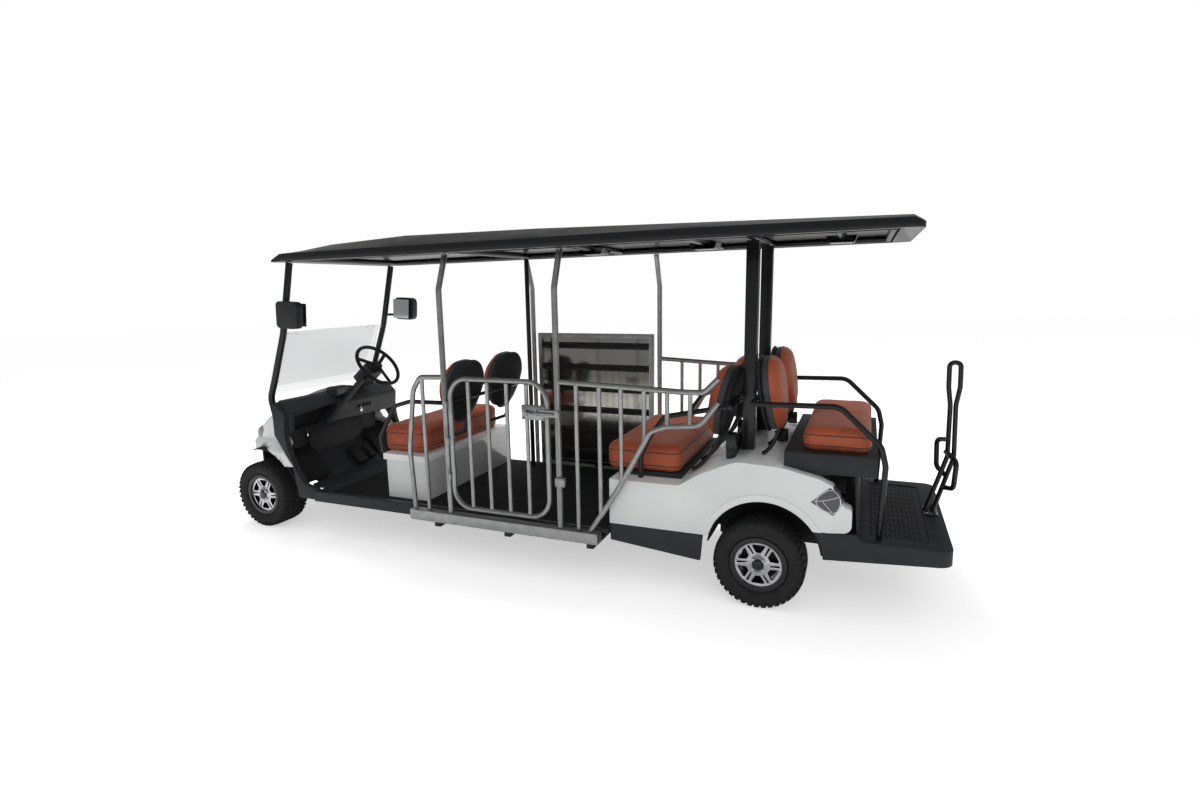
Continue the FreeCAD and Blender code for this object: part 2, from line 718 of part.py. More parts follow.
def rear_body():
    """The white rear body with its wheel arches, its lamps' seats and the lobe under each lamp."""
    low = "rear_body_low"
    side = slab("YZ", [(rear(-815), low), (rear(-815), "seat_base_top + 2"),
                       (rear(-425), "seat_base_top + 2", 60), (rear(-307), 690, 120), (rear(-127), 770, 150),
                       (rear(95), 760, 400), (rear(284), 717, 120), (rear(340), 690, 20),
                       (rear(400), 588, 15), (rear(436), 578, 25), (rear(438), 462, 40), (rear(330), 451, 60),
                       (rear(100), 451), (rear(100), low)],
                "-body_half_width", "body_half_width")
    room = slab("YZ", [(rear(-803), 340), (rear(-803), "seat_base_top - 10"),
                       (rear(-425), "seat_base_top - 10", 60), (rear(-300), 672, 120),
                       (rear(-127), 752, 150), (rear(95), 742, 300), (rear(230), 690, 80),
                       (rear(230), 340)],
                "-body_half_width + panel_wall", "body_half_width - panel_wall")
    tail = box("-body_half_width + 90", "body_half_width - 90", rear(229), rear(500), 430, "aft_box_low")
    arches = rod("X", "rear_arch_radius", -700, 700, rear(20), 285)
    seat = box("-seat_half_width + 5.7", "seat_half_width - 5.7", rear(104.7), rear(560), 689, 900)
    posts = fuse(*[box(f"{x} - 32.3", f"{x} + 32.3", rear(-142.3), rear(-77.7), 600, 900)
                   for x in ("-back_x", "back_x")])
    lamps = node(both_sides(slab("YZ", tail_lamp_outline(), "body_half_width - 60", "body_half_width - 2")),
                 "tail_lamps")
    lip = cut(rod("X", "rear_arch_radius + 34", "body_half_width - 6", "body_half_width + 10", rear(20), 285),
              rod("X", "rear_arch_radius - 10", 500, 700, rear(20), 285))
    flare = common(lip, box("body_half_width - 20", 700, rear(-400), rear(400), 451, 800))
    hollow = cut(cut(side, fuse(room, tail)), fuse(arches, seat, posts))
    return node(cut(fuse(hollow, both_sides(flare)), fuse(lamps, arches)), "rear_body")


def rear_arch_liners():
    """The black round liners over the rear wheels."""
    inner = "back_x + 38"
    shell = cut(rod("X", "rear_arch_radius - joint_gap", inner, "body_half_width - 10", rear(20), 285),
                rod("X", f"rear_arch_radius - joint_gap - {LINER}", f"{inner} + {LINER}", "body_half_width",
                    rear(20), 285))
    upper = box(inner, "body_half_width", rear(-350), rear(400), 325, 700)
    return node(both_sides(common(shell, upper)), "rear_arch_liners")


def middle_seat_tray():
    """The black tray under the middle cushion."""
    return node(box("-seat_half_width + 60", "seat_half_width - 60", rear(-800), rear(-440),
                    "seat_base_top + 2.3", "seat_base_top + 28"), "middle_seat_tray")


def rear_deck():
    """The step behind the rear-facing bench: a bordered tread, deep walls and a riser behind the body."""
    w, wall, under = "deck_half_width", "deck_wall", "floor_under + rear_rise"
    plan = [(f"-{w}", rear(390)), (w, rear(390)), (w, rear(885), 60), (f"-{w}", rear(885), 60)]
    plate = slab("XY", plan, under, "deck_top")
    recess = [(f"-{w} + 90", rear("deck_riser + 40"), 20), (f"{w} - 90", rear("deck_riser + 40"), 20),
              (f"{w} - 90", rear(790), 40), (f"-{w} + 90", rear(790), 40)]
    tray = slab("XY", recess, "deck_top - 8", "deck_top + 5")
    skirt = slab("XY", plan, 300, under)
    hollow = slab("XY", [(f"-{w} + {wall}", rear(380)), (f"{w} - {wall}", rear(380)),
                         (f"{w} - {wall}", rear(871), 46), (f"-{w} + {wall}", rear(871), 46)], 290, under)
    below = slab("YZ", [(rear(300), 280), (rear(300), 304), (rear(900), 346), (rear(900), 280)], -700, 700)
    flank = slab("YZ", [(rear(225), 450), (rear(400), 450), (rear(466), 452, 20),
                        (rear("deck_riser + 12"), "deck_top - 4"), (rear("deck_riser + 12"), under),
                        (rear(400), 311), (rear(285), 303)], f"{w} - {wall}", w)
    arch = rod("X", "rear_arch_radius", -700, 700, rear(20), 285)
    riser = slab("YZ", [(rear("deck_riser"), "deck_top - 10"), (rear("deck_riser - 20"), "aft_box_low - 0.3"),
                        (rear("deck_riser - 32"), "aft_box_low - 0.3"),
                        (rear("deck_riser - 12"), "deck_top - 10")],
                 "-seat_half_width + 22", "seat_half_width - 22")
    walls = fuse(cut(skirt, hollow), cut(both_sides(flank), arch))
    return node(cut(fuse(cut(plate, tray), walls, riser), below), "rear_deck")


def aft_grab_rails():
    """The black rails at both ends of the rear-facing bench, joined behind the roof posts."""
    rail = side_tube("arm_x + 10", [(rear(562), "deck_top + 0.8"), (rear(574), 788, 80), (rear(551), 883, 80),
                                    (rear(359), 1067, 90), (rear(-61.5), 1060)], 14)
    bar = rod("X", 14, "-arm_x - 10", "arm_x + 10", rear(-61.5), 1060)
    return node(fuse(rail, mirrored(rail), bar), "aft_grab_rails")


def aft_grab_handle():
    """The upright grab bar at the deck's rear edge: one long loop of tube with a side loop at each hand."""
    bends = [(817, 7, "deck_top + 5.4", 0), (903, 3.5, 737, 70), (896, 1, 1017, 200), (896, 14.5, 1110, 120),
             (892, 14.5, 1240, 24)]
    up = [(rear(f"{y} - handle_radius - {apart}"), z, turn) for y, apart, z, turn in bends]
    down = [(rear(f"{y} + handle_radius + {apart}"), z, turn) for y, apart, z, turn in reversed(bends)]
    loop = side_tube(0, [up[0][:2], *up[1:], *down[:-1], down[-1][:2]], "handle_radius")
    plate = slab("XY", [(-60, rear(794), 12), (48, rear(794), 12), (48, rear(860), 12), (-60, rear(860), 12)],
                 "deck_top + 0.3", "deck_top + 6")
    grips = []
    for side, base, centre in ((1, 570, 876), (-1, 635, 888)):
        ring = cross_tube(0, [(side * 6, 0), (side * 105, 22, 34), (side * 118, 170, 34), (side * 6, 196)],
                          "grip_radius")
        ring.Placement = Placement(Vector(), Rotation(Vector(0, 0, 1), 22))
        grips.append(place(ring, 0, rear(centre), base))
    return node(fuse(loop, plate, *grips), "aft_grab_handle")


def roof_under(offset):
    """The height of the roof's underside, which rises to the rear, at a place behind the front axle."""
    return f"(roof_low + roof_rise*(({offset}) - 440)/3580)"


ROOF = [(280, 22, 5, 34), (400, 0, 48, 64), (720, 0, 50, 98), (1300, 0, 52, 122), (2200, 0, 52, 112),
        (3100, 0, 54, 90), (4098, 0, 44, 66), (4144, 16, 20, 40)]


def roof_canopy():
    """The black moulded roof: an upright edge all round, sloping shoulders and a long flat crown."""
    body = new_body("Canopy")
    sections = []
    for y, narrow, edge, crown in ROOF:
        half, shoulder = f"(roof_half_width - {narrow})", f"(roof_half_width - {narrow} - roof_shoulder)"
        low = roof_under(y)
        right = [(half, low), (half, f"{low} + {edge}"), (shoulder, f"{low} + {crown}")]
        left = [(f"-{across}", up) for across, up in reversed(right)]
        sections.append(outline(sketch_on(body, "XZ", f"-({front(y)})"), [*right, *left]))
    loft(body, sections).Ruled = True
    plan = slab("XY", [("-roof_half_width", front(279), 70), ("roof_half_width", front(279), 70),
                       ("roof_half_width", front(4145), 60), ("-roof_half_width", front(4145), 60)],
                "roof_low - 30", "roof_top + 40")
    room = "2*roof_frame_radius + joint_gap"
    hollow = slab("YZ", [(front(420), "roof_low - 40"), (front(420), f"{roof_under(420)} + {room}"),
                         (rear(575), f"{roof_under(4030)} + {room}"), (rear(575), "roof_low - 40")],
                  "-roof_half_width + 34", "roof_half_width - 34")
    return node(cut(common(body, plan), hollow), "roof_canopy")


def roof_frame():
    """Long tubes and cross tubes under the roof, and the three lamp housings that hang from them."""
    r = "roof_frame_radius"
    ends = [(front(y), f"{roof_under(y)} + {r}") for y in (440, 4022)]
    long_tubes = [side_tube(x, ends, r) for x in ("-post_x + 20", "post_x - 20")]
    cross = [rod("X", r, "-post_x + 20", "post_x - 20", front(y), f"{roof_under(y)} + {r}")
             for y in (440, 1630, 2355, 3045, 3360, 3780, 4022)]
    lamps = [slab("YZ", [(front(y - 78), f"{roof_under(y)} + {r}"),
                         (front(y - 66), f"{roof_under(y)} - 20", 12),
                         (front(y + 66), f"{roof_under(y)} - 20", 12),
                         (front(y + 78), f"{roof_under(y)} + {r}")], -70, 70) for y in (2355, 3045, 3780)]
    return node(fuse(*long_tubes, *cross, *lamps), "roof_frame")


def roof_posts():
    """The bent front posts, the square rear posts behind the middle backs and the ramp side's post."""
    rear_pair = [box(f"{x} - 32", f"{x} + 32", rear(-142), rear(-78), "floor_under + rear_rise",
                     roof_under(3340)) for x in ("-back_x", "back_x")]
    middle = rod("Z", 16, FLOOR, roof_under(1612), "-post_x + 20", front(1612))
    return node(fuse(both_sides(front_post("post_radius")), *rear_pair, middle), "roof_posts")


def strut(side_x, y, foot):
    """A side strut that bends inward to the roof's edge."""
    sign = "-" if side_x.startswith("-") else ""
    return cross_tube(front(y), [(side_x, foot), (side_x, "strut_kink", 60),
                                 (f"{sign}(rail_x - 78)", f"{roof_under(y)} - 9")], "strut_radius")


def rail_tubes(x, top_start, low_start, foot):
    """The rear rail's top tube, from the strut, and the sloping tube under it, from the sill."""
    top_rail = side_tube(x, [(front(top_start), 1148), (front(3080), 1123, 150), (front(3190), 1125, 60),
                             (front(3262), 1200)], "rail_tube_radius")
    low_rail = side_tube(x, [(front(low_start), foot), (front(2722), 569, 300), (front(2905), 904, 60),
                             (front(2986), 936, 60), (front(3170), 954, 90), (front(3262), 1080)],
                         "rail_tube_radius")
    return [top_rail, low_rail]


def gate_hinge_heights():
    """Heights of the gate's three hinges."""
    return (545, 765, 985)


def side_rails_left():
    """The aluminium sill, two struts, the fixed rails beside the gate and its hinge ears."""
    sill = box("rail_x - 25", "rail_x + 40", front(1350), front(f"{LATCH_STRUT} + 240"),
               "sill_low", "sill_top")
    x = "rail_x"
    struts = [strut(x, y, "sill_top - 4") for y in ("gate_strut_y", LATCH_STRUT)]
    hoop = side_tube(x, [(front(1367), "sill_top - 4"), (front(1350), 679, 300), (front(1402), 1059, 120),
                         (front(1459), 1140, 40), (front("gate_strut_y"), 1146)], "rail_tube_radius")
    upright = side_tube(x, [(front(1470), "sill_top - 4"), (front(1470), 1136)], 12)
    bars = [side_tube(x, [(front(y), z), (front(y), 1136)], 12)
            for y, z in ((f"{LATCH_STRUT} + 114", "sill_top - 4"), (2619, 400), (2743, 620), (2872, 850),
                         (2997, 930), (3118, 940))]
    ears = []
    for z in gate_hinge_heights():
        for step in (-23, 15):
            ears.append(rod("Z", 9, z + step, z + step + 8, GATE_AXIS_X, GATE_AXIS_Y))
            ears.append(box("rail_x", GATE_AXIS_X, f"{GATE_AXIS_Y} - 20", GATE_AXIS_Y, z + step,
                            z + step + 8))
        ears.append(rod("Z", "gate_pin_radius", z - 20, z + 20, GATE_AXIS_X, GATE_AXIS_Y))
    return node(fuse(sill, *struts, hoop, upright, 
                     *rail_tubes(x, LATCH_STRUT, f"{LATCH_STRUT} + 181", "sill_top - 4"), *bars, *ears),
                "side_rails_left")


def gate():
    """The side gate: a rounded tube frame with four bars, hung on the front strut."""
    x, r = "rail_x", "rail_tube_radius"
    y0, y1 = GATE_FRONT, f"({GATE_FRONT} + gate_length)"
    body = new_body("GateFrame")
    ring = outline(sketch_on(body, "YZ", x), [(y0, "gate_low", 120), (y1, "gate_low", 120),
                                              (y1, "gate_top", 120), (y0, "gate_top", 120)])
    section = circle(sketch_on(body, "XZ", f"-({y0} + 200)"), x, "gate_low", r)
    tube = body.newObject("PartDesign::AdditivePipe", "Tube")
    tube.Profile = section
    tube.Spine = (ring, [])
    bars = [side_tube(x, [(f"{y0} + gate_length*{share}", "gate_low"),
                          (f"{y0} + gate_length*{share}", "gate_top")], 12)
            for share in (0.2, 0.4, 0.6, 0.8)]
    plate = box("rail_x - 4", "rail_x + strut_radius + 5", f"{y1} - 150", f"{y1}", 930, 1010)
    tongue = box("rail_x + strut_radius + 5", "rail_x + strut_radius + 11", f"{y1} - 60",
                 f"{y1} + latch_overhang - strut_radius", 952, 988)
    eyes = []
    for z in gate_hinge_heights():
        ring_ = cut(fuse(rod("Z", 10, z - 14.7, z + 14.7, GATE_AXIS_X, GATE_AXIS_Y),
                         box("rail_x + 2", f"{GATE_AXIS_X} - 2", f"{GATE_AXIS_Y} + 2", f"{GATE_FRONT} - 4",
                             z - 14.7, z + 14.7)),
                    rod("Z", "gate_pin_radius + running_fit", z - 20, z + 20, GATE_AXIS_X, GATE_AXIS_Y))
        eyes.append(ring_)
    return node(fuse(body, *bars, plate, tongue, *eyes), "gate")


def side_rails_right():
    """The struts and the fixed rail on the ramp's side, with the ramp's hinge sill."""
    x = "-rail_x"
    low = "sill_low"
    sill = box("-rail_x - 12", "-rail_x + 25", front("ramp_front - 58"), front(f"{RAMP_END} + 59"), low,
               f"{low} + 4")
    struts = [strut(x, y, f"{low} + 2") for y in ("ramp_front - 44", f"{RAMP_END} + 45")]
    bars = [side_tube(x, [(front(y), z), (front(y), 1136)], 12)
            for y, z in ((2743, 620), (2872, 850), (2997, 930), (3118, 940))]
    lugs = cut(fuse(*[box("-rail_x - 12", "-rail_x + 12", front(y), front(f"{y} + 16"), low,
                          f"{RAMP_AXIS_Z} + 12") for y in ("ramp_front - 24", f"{RAMP_END} + 8")]),
               rod("Y", "ramp_pin_radius + running_fit", front("ramp_front - 100"),
                   front(f"{RAMP_END} + 100"), x, RAMP_AXIS_Z))
    tubes = rail_tubes(x, f"{RAMP_END} + 45", f"{RAMP_END} + 55", f"{low} + 2")
    return node(fuse(sill, *struts, *tubes, *bars, lugs), "side_rails_right")


def ramp():
    """The boarding ramp, folded upright between the right struts, on two pins at its foot."""
    y0, y1 = front("ramp_front"), front(RAMP_END)
    outer, inner = "-rail_x - ramp_thickness/2", "-rail_x + ramp_thickness/2"
    frame = cut(box(outer, inner, y0, y1, "ramp_low", "ramp_top"),
                box("-rail_x - 100", "-rail_x + 100", f"{y0} + 30", f"{y1} - 30", "ramp_low + 30",
                    "ramp_top - 30"))
    plate = box("-rail_x - 3", "-rail_x + 3", f"{y0} + 20", f"{y1} - 20", "ramp_low + 20", "ramp_top - 20")
    treads = [box("-rail_x - 3", inner, f"{y0} + 20", f"{y1} - 20", f"{z} - 14", f"{z} + 14")
              for z in (430, 590, 750, 910, 1070, 1230)]
    pins = rod("Y", "ramp_pin_radius", f"{y0} - 22", f"{y1} + 22", "-rail_x", RAMP_AXIS_Z)
    return node(fuse(frame, plate, pins, *treads), "ramp")


def front_axle():
    """The front beam with its kingpin bosses, on two leaf springs under the rails."""
    z = "tyre_radius"
    beam = rod("X", "axle_tube_radius", "-kingpin_x", "kingpin_x", front(0), z)
    boss = rod("Z", "kingpin_boss", f"{z} - kingpin_height/2 + 15", f"{z} + kingpin_height/2 - 15",
               "kingpin_x", front(0))
    bore = rod("Z", "kingpin_radius + running_fit", 0, 600, "kingpin_x", front(0))
    spring = box("rail_gauge/2 - 25", "rail_gauge/2 + 25", front(-250), front(115),
                 f"{z} + axle_tube_radius - 4", f"{RAIL_LOW} + front_rise")
    solid = fuse(beam, boss, mirrored(boss), spring, mirrored(spring))
    return node(cut(solid, both_sides(bore)), "front_axle")


def knuckle(side):
    """The steering knuckle: a fork round the beam's boss, the stub axle and the steering arm."""
    z, half = "tyre_radius", "kingpin_height/2"
    pin = rod("Z", "kingpin_radius", f"{z} - {half}", f"{z} + {half}", "kingpin_x", front(0))
    lugs = [box("kingpin_x - 22", "kingpin_x + 46", front(-20), front(20), f"{z} + {low}", f"{z} + {high}")
            for low, high in ((f"{half} - 14.7", half), (f"-{half}", f"-{half} + 14.7"))]
    web = box("kingpin_x + kingpin_boss + 10", "kingpin_x + 46", front(-20), front(20), f"{z} - {half}",
              f"{z} + {half}")
    stub = rod("X", "stub_radius", "kingpin_x + 40", "track/2 + 40", front(0), z)
    arm = box("kingpin_x - 12", "kingpin_x + 14", front(0), front("steering_arm + 14"), f"{z} - {half}",
              f"{z} - {half} + 14")
    shape = fuse(pin, *lugs, web, stub, arm)
    if side == "right":
        shape = mirrored(shape)
    return node(shape, f"knuckle_{side}")


def tie_rod():
    """The rod under both steering arms, with a ball housing at each end."""
    top = "(tyre_radius - kingpin_height/2 - joint_gap)"
    z = f"({top} - tie_rod_radius - 3)"
    bar = rod("X", "tie_rod_radius", "-kingpin_x", "kingpin_x", front("steering_arm"), z)
    cup = rod("Z", 15, f"{z} - tie_rod_radius", top, "kingpin_x", front("steering_arm"))
    return node(fuse(bar, cup, mirrored(cup)), "tie_rod")


def rear_axle():
    """The rear axle tube with its gear case, stubs and two leaf springs."""
    z = "tyre_radius"
    tube = rod("X", "axle_tube_radius + 5", "-track/2 + 95", "track/2 - 95", rear(0), z)
    stubs = rod("X", "stub_radius", "-track/2 - 40", "track/2 + 40", rear(0), z)
    case = rod("X", 88, -35, 62, rear(0), z)
    neck = box(-35, 62, rear(-190), rear(-30), f"{z} - 45", f"{z} + 45")
    spring = box("rail_gauge/2 - 25", "rail_gauge/2 + 25", rear(-260), rear(300), f"{z} + 30",
                 f"{RAIL_LOW} + rear_rise")
    return node(fuse(tube, stubs, case, neck, spring, mirrored(spring)), "rear_axle")


def drive_motor():
    """The electric motor beside the gear case, as one plain block."""
    return node(rod("X", 82, -208, "-35 - joint_gap", rear(-170), "tyre_radius + 10"), "drive_motor")


def battery_pack():
    """The battery under the front bench, as one plain block."""
    return node(box(-330, 330, front(1085), front(1350), f"{FLOOR} + joint_gap", "seat_base_top - 90"),
                "battery_pack")


def tyre_shape():
    """A tyre turned round the X axis, its outer face towards +X."""
    half, bead = "tyre_width/2", "rim_width/2 - 12.3"
    return turned([(f"-({bead})", "rim_seat_radius"), (bead, "rim_seat_radius"), (bead, "rim_radius + 3"),
                   (half, "tyre_radius - 44"), (f"{half} - 12", "tyre_radius"),
                   (f"-({half} - 12)", "tyre_radius"), (f"-({half})", "tyre_radius - 44"),
                   (f"-({bead})", "rim_radius + 3")])


def rim_shape():
    """An alloy rim turned round X, with six pairs of windows between split spokes."""
    half, seat = "rim_width/2", "rim_seat_radius - 0.3"
    inner = f"({seat} - rim_wall)"
    return turned([(f"-({half})", "rim_radius"), (f"-({half}) + 6", "rim_radius"),
                   (f"-({half}) + 12", seat), (f"{half} - 12", seat), (f"{half} - 6", "rim_radius"),
                   (half, "rim_radius"), (half, inner), (f"{half} - spoke_depth + 12", inner),
                   (f"{half} - 14", "hub_radius"), (f"{half} - 6", "hub_radius - 14"),
                   (f"{half} - 6", 0), (f"{half} - 18", 0), (f"{half} - 18", "stub_radius + running_fit"),
                   (f"{half} - 60", "stub_radius + running_fit"), (f"{half} - 60", "hub_radius"),
                   (f"{half} - spoke_depth - 14", "hub_radius + 8"), (f"{half} - spoke_depth - 4", inner),
                   (f"-({half})", inner)])


def spoke_windows(body):
    """Cut the wide and the narrow window of one spoke pair and repeat them round the rim."""
    wide = outline(sketch_on(body, "YZ", "rim_width/2 + 5"),
                   [(-12, 62, 6), (12, 62, 6), (40, 104, 8), (-40, 104, 8)])
    first = pocket(body, wide, "spoke_depth + 50")
    narrow = outline(sketch_on(body, "YZ", "rim_width/2 + 5"),
                     [(30.5, 50.5, 3), (36.5, 47, 3), (60, 92, 4), (50, 98, 4)])
    second = pocket(body, narrow, "spoke_depth + 50")
    pattern = body.newObject("PartDesign::PolarPattern", "Spokes")
    pattern.Originals = [first, second]
    pattern.Axis = (narrow, ["N_Axis"])
    pattern.Angle = 360
    pattern.Occurrences = 6
    body.Tip = pattern
    return body


def wheels():
    """Four tyres and four rims, each set on its hub with the outer face outward."""
    for end, y in (("front", front(0)), ("rear", rear(0))):
        for side, sign, turn in (("left", "", 0), ("right", "-", 180)):
            for body, kind in ((tyre_shape(), "tyre"), (spoke_windows(rim_shape()), "rim")):
                body.Placement = Placement(Vector(), Rotation(Vector(0, 0, 1), turn))
                node(place(body, f"{sign}track/2", y, "tyre_radius"), f"{kind}_{end}_{side}")


def build_cart():
    """Make every sub-part."""
    chassis_frame()
    floor_deck()
    side_skirts()
    front_cowl()
    front_bumper()
    dash_panel()
    pedals()
    windscreen_lower()
    windscreen_upper()
    mirrors()
    steering_column()
    steering_wheel()
    front_seat_base()
    cushion("front_seat_cushion", "cushion_half_width", front(985), front(1352),
            "seat_base_top + cushion_gap", 785)
    rear_body()
    rear_arch_liners()
    middle_seat_tray()
    cushion("middle_seat_cushion", "cushion_half_width", rear(-900), rear(-430),
            "seat_base_top + 28 + cushion_gap", 790)
    node(aft_seat_block(), "aft_seat_base")
    cushion("aft_seat_cushion", "cushion_half_width", rear(165), rear(530), "aft_base_top + cushion_gap",
            945)
    seat_backs()
    node(fuse(front_back_frame(), middle_back_frame()), "seat_back_frames")
    armrests()
    rear_deck()
    aft_grab_rails()
    aft_grab_handle()
    roof_canopy()
    roof_frame()
    roof_posts()
    side_rails_left()
    side_rails_right()
    gate()
    ramp()
    front_axle()
    knuckle("left")
    knuckle("right")
    tie_rod()
    rear_axle()
    drive_motor()
    battery_pack()
    wheels()


def write_parts():
    """Check every object and write each sub-part to a file of its own."""
    doc.recompute()
    failed = [thing.Label for thing in doc.Objects if {"Invalid", "Error"} & set(thing.State)]
    bad = [piece.Label for piece in nodes if piece.Shape.isNull() or not piece.Shape.isValid()]
    if failed or bad:
        raise RuntimeError(f"failed objects {failed}, bad shapes {bad}")
    os.makedirs("parts", exist_ok=True)
    for piece in nodes:
        piece.Shape.exportStep(f"parts/{piece.Label}.step")
        extent = piece.Shape.BoundBox
        print(f"{piece.Label:22s} solids {len(piece.Shape.Solids):2d} volume {piece.Shape.Volume / 1e6:9.3f} "
              f"x {extent.XMin:7.1f} {extent.XMax:7.1f} y {extent.YMin:7.1f} {extent.YMax:7.1f} "
              f"z {extent.ZMin:7.1f} {extent.ZMax:7.1f}")


build_cart()
write_parts()
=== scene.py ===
"""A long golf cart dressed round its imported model: finishes, seats, wheels, lamps and small parts.

Metres, with X to the cart's left, Y to its rear and Z up. Places along the cart are measured from
its front axle or its rear axle, rearward.
"""

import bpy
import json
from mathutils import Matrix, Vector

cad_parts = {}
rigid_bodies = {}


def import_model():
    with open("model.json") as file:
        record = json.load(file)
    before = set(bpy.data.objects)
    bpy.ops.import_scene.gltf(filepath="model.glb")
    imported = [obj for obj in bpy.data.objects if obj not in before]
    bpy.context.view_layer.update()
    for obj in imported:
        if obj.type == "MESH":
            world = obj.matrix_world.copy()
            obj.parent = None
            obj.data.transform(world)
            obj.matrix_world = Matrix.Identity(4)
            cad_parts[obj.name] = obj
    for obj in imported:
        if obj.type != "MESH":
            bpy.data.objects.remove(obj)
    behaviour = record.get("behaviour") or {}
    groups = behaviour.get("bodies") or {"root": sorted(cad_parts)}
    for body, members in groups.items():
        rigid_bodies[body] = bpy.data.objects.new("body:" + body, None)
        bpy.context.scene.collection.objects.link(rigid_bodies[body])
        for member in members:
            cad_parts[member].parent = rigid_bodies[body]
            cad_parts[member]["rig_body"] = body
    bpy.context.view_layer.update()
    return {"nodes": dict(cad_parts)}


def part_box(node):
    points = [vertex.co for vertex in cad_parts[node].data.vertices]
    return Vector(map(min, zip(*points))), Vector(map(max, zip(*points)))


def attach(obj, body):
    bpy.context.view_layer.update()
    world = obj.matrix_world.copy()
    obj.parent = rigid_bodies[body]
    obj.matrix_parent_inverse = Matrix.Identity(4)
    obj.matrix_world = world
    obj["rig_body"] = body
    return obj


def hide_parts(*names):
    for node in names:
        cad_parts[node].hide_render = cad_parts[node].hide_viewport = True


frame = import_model()

import json
import logging
import math
from dataclasses import dataclass
from typing import Callable, Sequence

import bpy
from mathutils import Matrix, Vector

LOG = logging.getLogger("golf_cart")
FRONT_AXLE = -1.9875
REAR_AXLE = 1.4825
WHEEL_RADIUS = 0.235
MM = 0.001
SWELL_FRAMES = 20


def front(distance: float) -> float:
    """Place along the cart, measured rearward from the front axle."""
    return FRONT_AXLE + distance


def rear(distance: float) -> float:
    """Place along the cart, measured rearward from the rear axle."""
    return REAR_AXLE + distance


def linear(colour: str) -> tuple[float, float, float, float]:
    """Turn an sRGB hex colour to linear light.

    Args:
        colour: Six hex digits after a hash sign.

    Returns:
        Red, green, blue and an alpha of one.
    """
    parts = [int(colour[start:start + 2], 16) / 255 for start in (1, 3, 5)]
    red, green, blue = ((c / 12.92 if c <= 0.04045 else ((c + 0.055) / 1.055) ** 2.4) for c in parts)
    return (red, green, blue, 1.0)


def add_node(tree: bpy.types.NodeTree, kind: str, values: dict | None = None, links: dict | None = None,
             **settings) -> bpy.types.Node:
    """Add a node with its constants, links and settings.

    Args:
        tree: The tree that takes the node.
        kind: The node's type name.
        values: Constants by input name or number.
        links: Output sockets by the input name or number that they feed.
        settings: Attributes of the node itself.

    Returns:
        The new node.
    """
    made = tree.nodes.new(kind)
    for name, setting in settings.items():
        setattr(made, name, setting)
    for socket, value in (values or {}).items():
        made.inputs[socket].default_value = value
    for socket, source in (links or {}).items():
        tree.links.new(source, made.inputs[socket])
    return made


@dataclass(frozen=True)
class Finish:
    """A surface: its colour, its gloss and the grain that its making left.

    The grain is a bump of fine noise, and the colour wanders a little over the piece, as it does on
    any real moulding or casting. On the lamp glass the wander is strong, and its lighter patches are painted
    reflection.
    """

    name: str
    colour: str
    roughness: float
    metallic: float = 0.0
    coat: float = 0.0
    grain_mm: float = 2.0
    grain_depth_mm: float = 0.05
    wander: float = 0.06
    wander_mm: float = 160.0

    def material(self) -> bpy.types.Material:
        """Make the material, or return the one that is there already."""
        found = bpy.data.materials.get(self.name)
        if found:
            return found
        made = bpy.data.materials.new(self.name)
        made.use_nodes = True
        made.diffuse_color = linear(self.colour)
        tree = made.node_tree
        shader = next(n for n in tree.nodes if n.type == "BSDF_PRINCIPLED")
        shader.inputs["Roughness"].default_value = self.roughness
        shader.inputs["Metallic"].default_value = self.metallic
        shader.inputs["Coat Weight"].default_value = self.coat
        shader.inputs["Coat Roughness"].default_value = 0.06
        place = add_node(tree, "ShaderNodeTexCoord").outputs["Object"]
        self.dress(tree, shader, place)
        return made

    def dress(self, tree: bpy.types.NodeTree, shader: bpy.types.Node, place: bpy.types.NodeSocket) -> None:
        """Lay the colour and the grain.

        Args:
            tree: The material's tree.
            shader: Its surface shader.
            place: Object coordinates.
        """
        self.wandering_colour(tree, shader, place)
        self.bump(tree, shader, self.noise(tree, place, self.grain_mm), self.grain_depth_mm)

    def noise(self, tree: bpy.types.NodeTree, place: bpy.types.NodeSocket,
              size_mm: float) -> bpy.types.NodeSocket:
        """A noise whose patches are about the given size."""
        return add_node(tree, "ShaderNodeTexNoise", {"Scale": 1 / (size_mm * MM), "Detail": 3.0},
                        {"Vector": place}).outputs["Fac"]

    def wandering_colour(self, tree: bpy.types.NodeTree, shader: bpy.types.Node,
                         place: bpy.types.NodeSocket) -> None:
        """Let the colour wander between a darker and a lighter share of itself."""
        base = linear(self.colour)
        ramp = add_node(tree, "ShaderNodeValToRGB", links={"Fac": self.noise(tree, place, self.wander_mm)})
        for element, share in zip(ramp.color_ramp.elements, (1 - self.wander, 1 + self.wander)):
            element.color = (*(min(1.0, channel * share) for channel in base[:3]), 1.0)
        ramp.color_ramp.elements[0].position = 0.35
        ramp.color_ramp.elements[1].position = 0.65
        tree.links.new(ramp.outputs["Color"], shader.inputs["Base Color"])

    def bump(self, tree: bpy.types.NodeTree, shader: bpy.types.Node, height: bpy.types.NodeSocket,
             depth_mm: float) -> None:
        """Raise the surface by a height of the given depth."""
        made = add_node(tree, "ShaderNodeBump", {"Strength": 1.0, "Distance": depth_mm * MM},
                        {"Height": height})
        tree.links.new(made.outputs["Normal"], shader.inputs["Normal"])


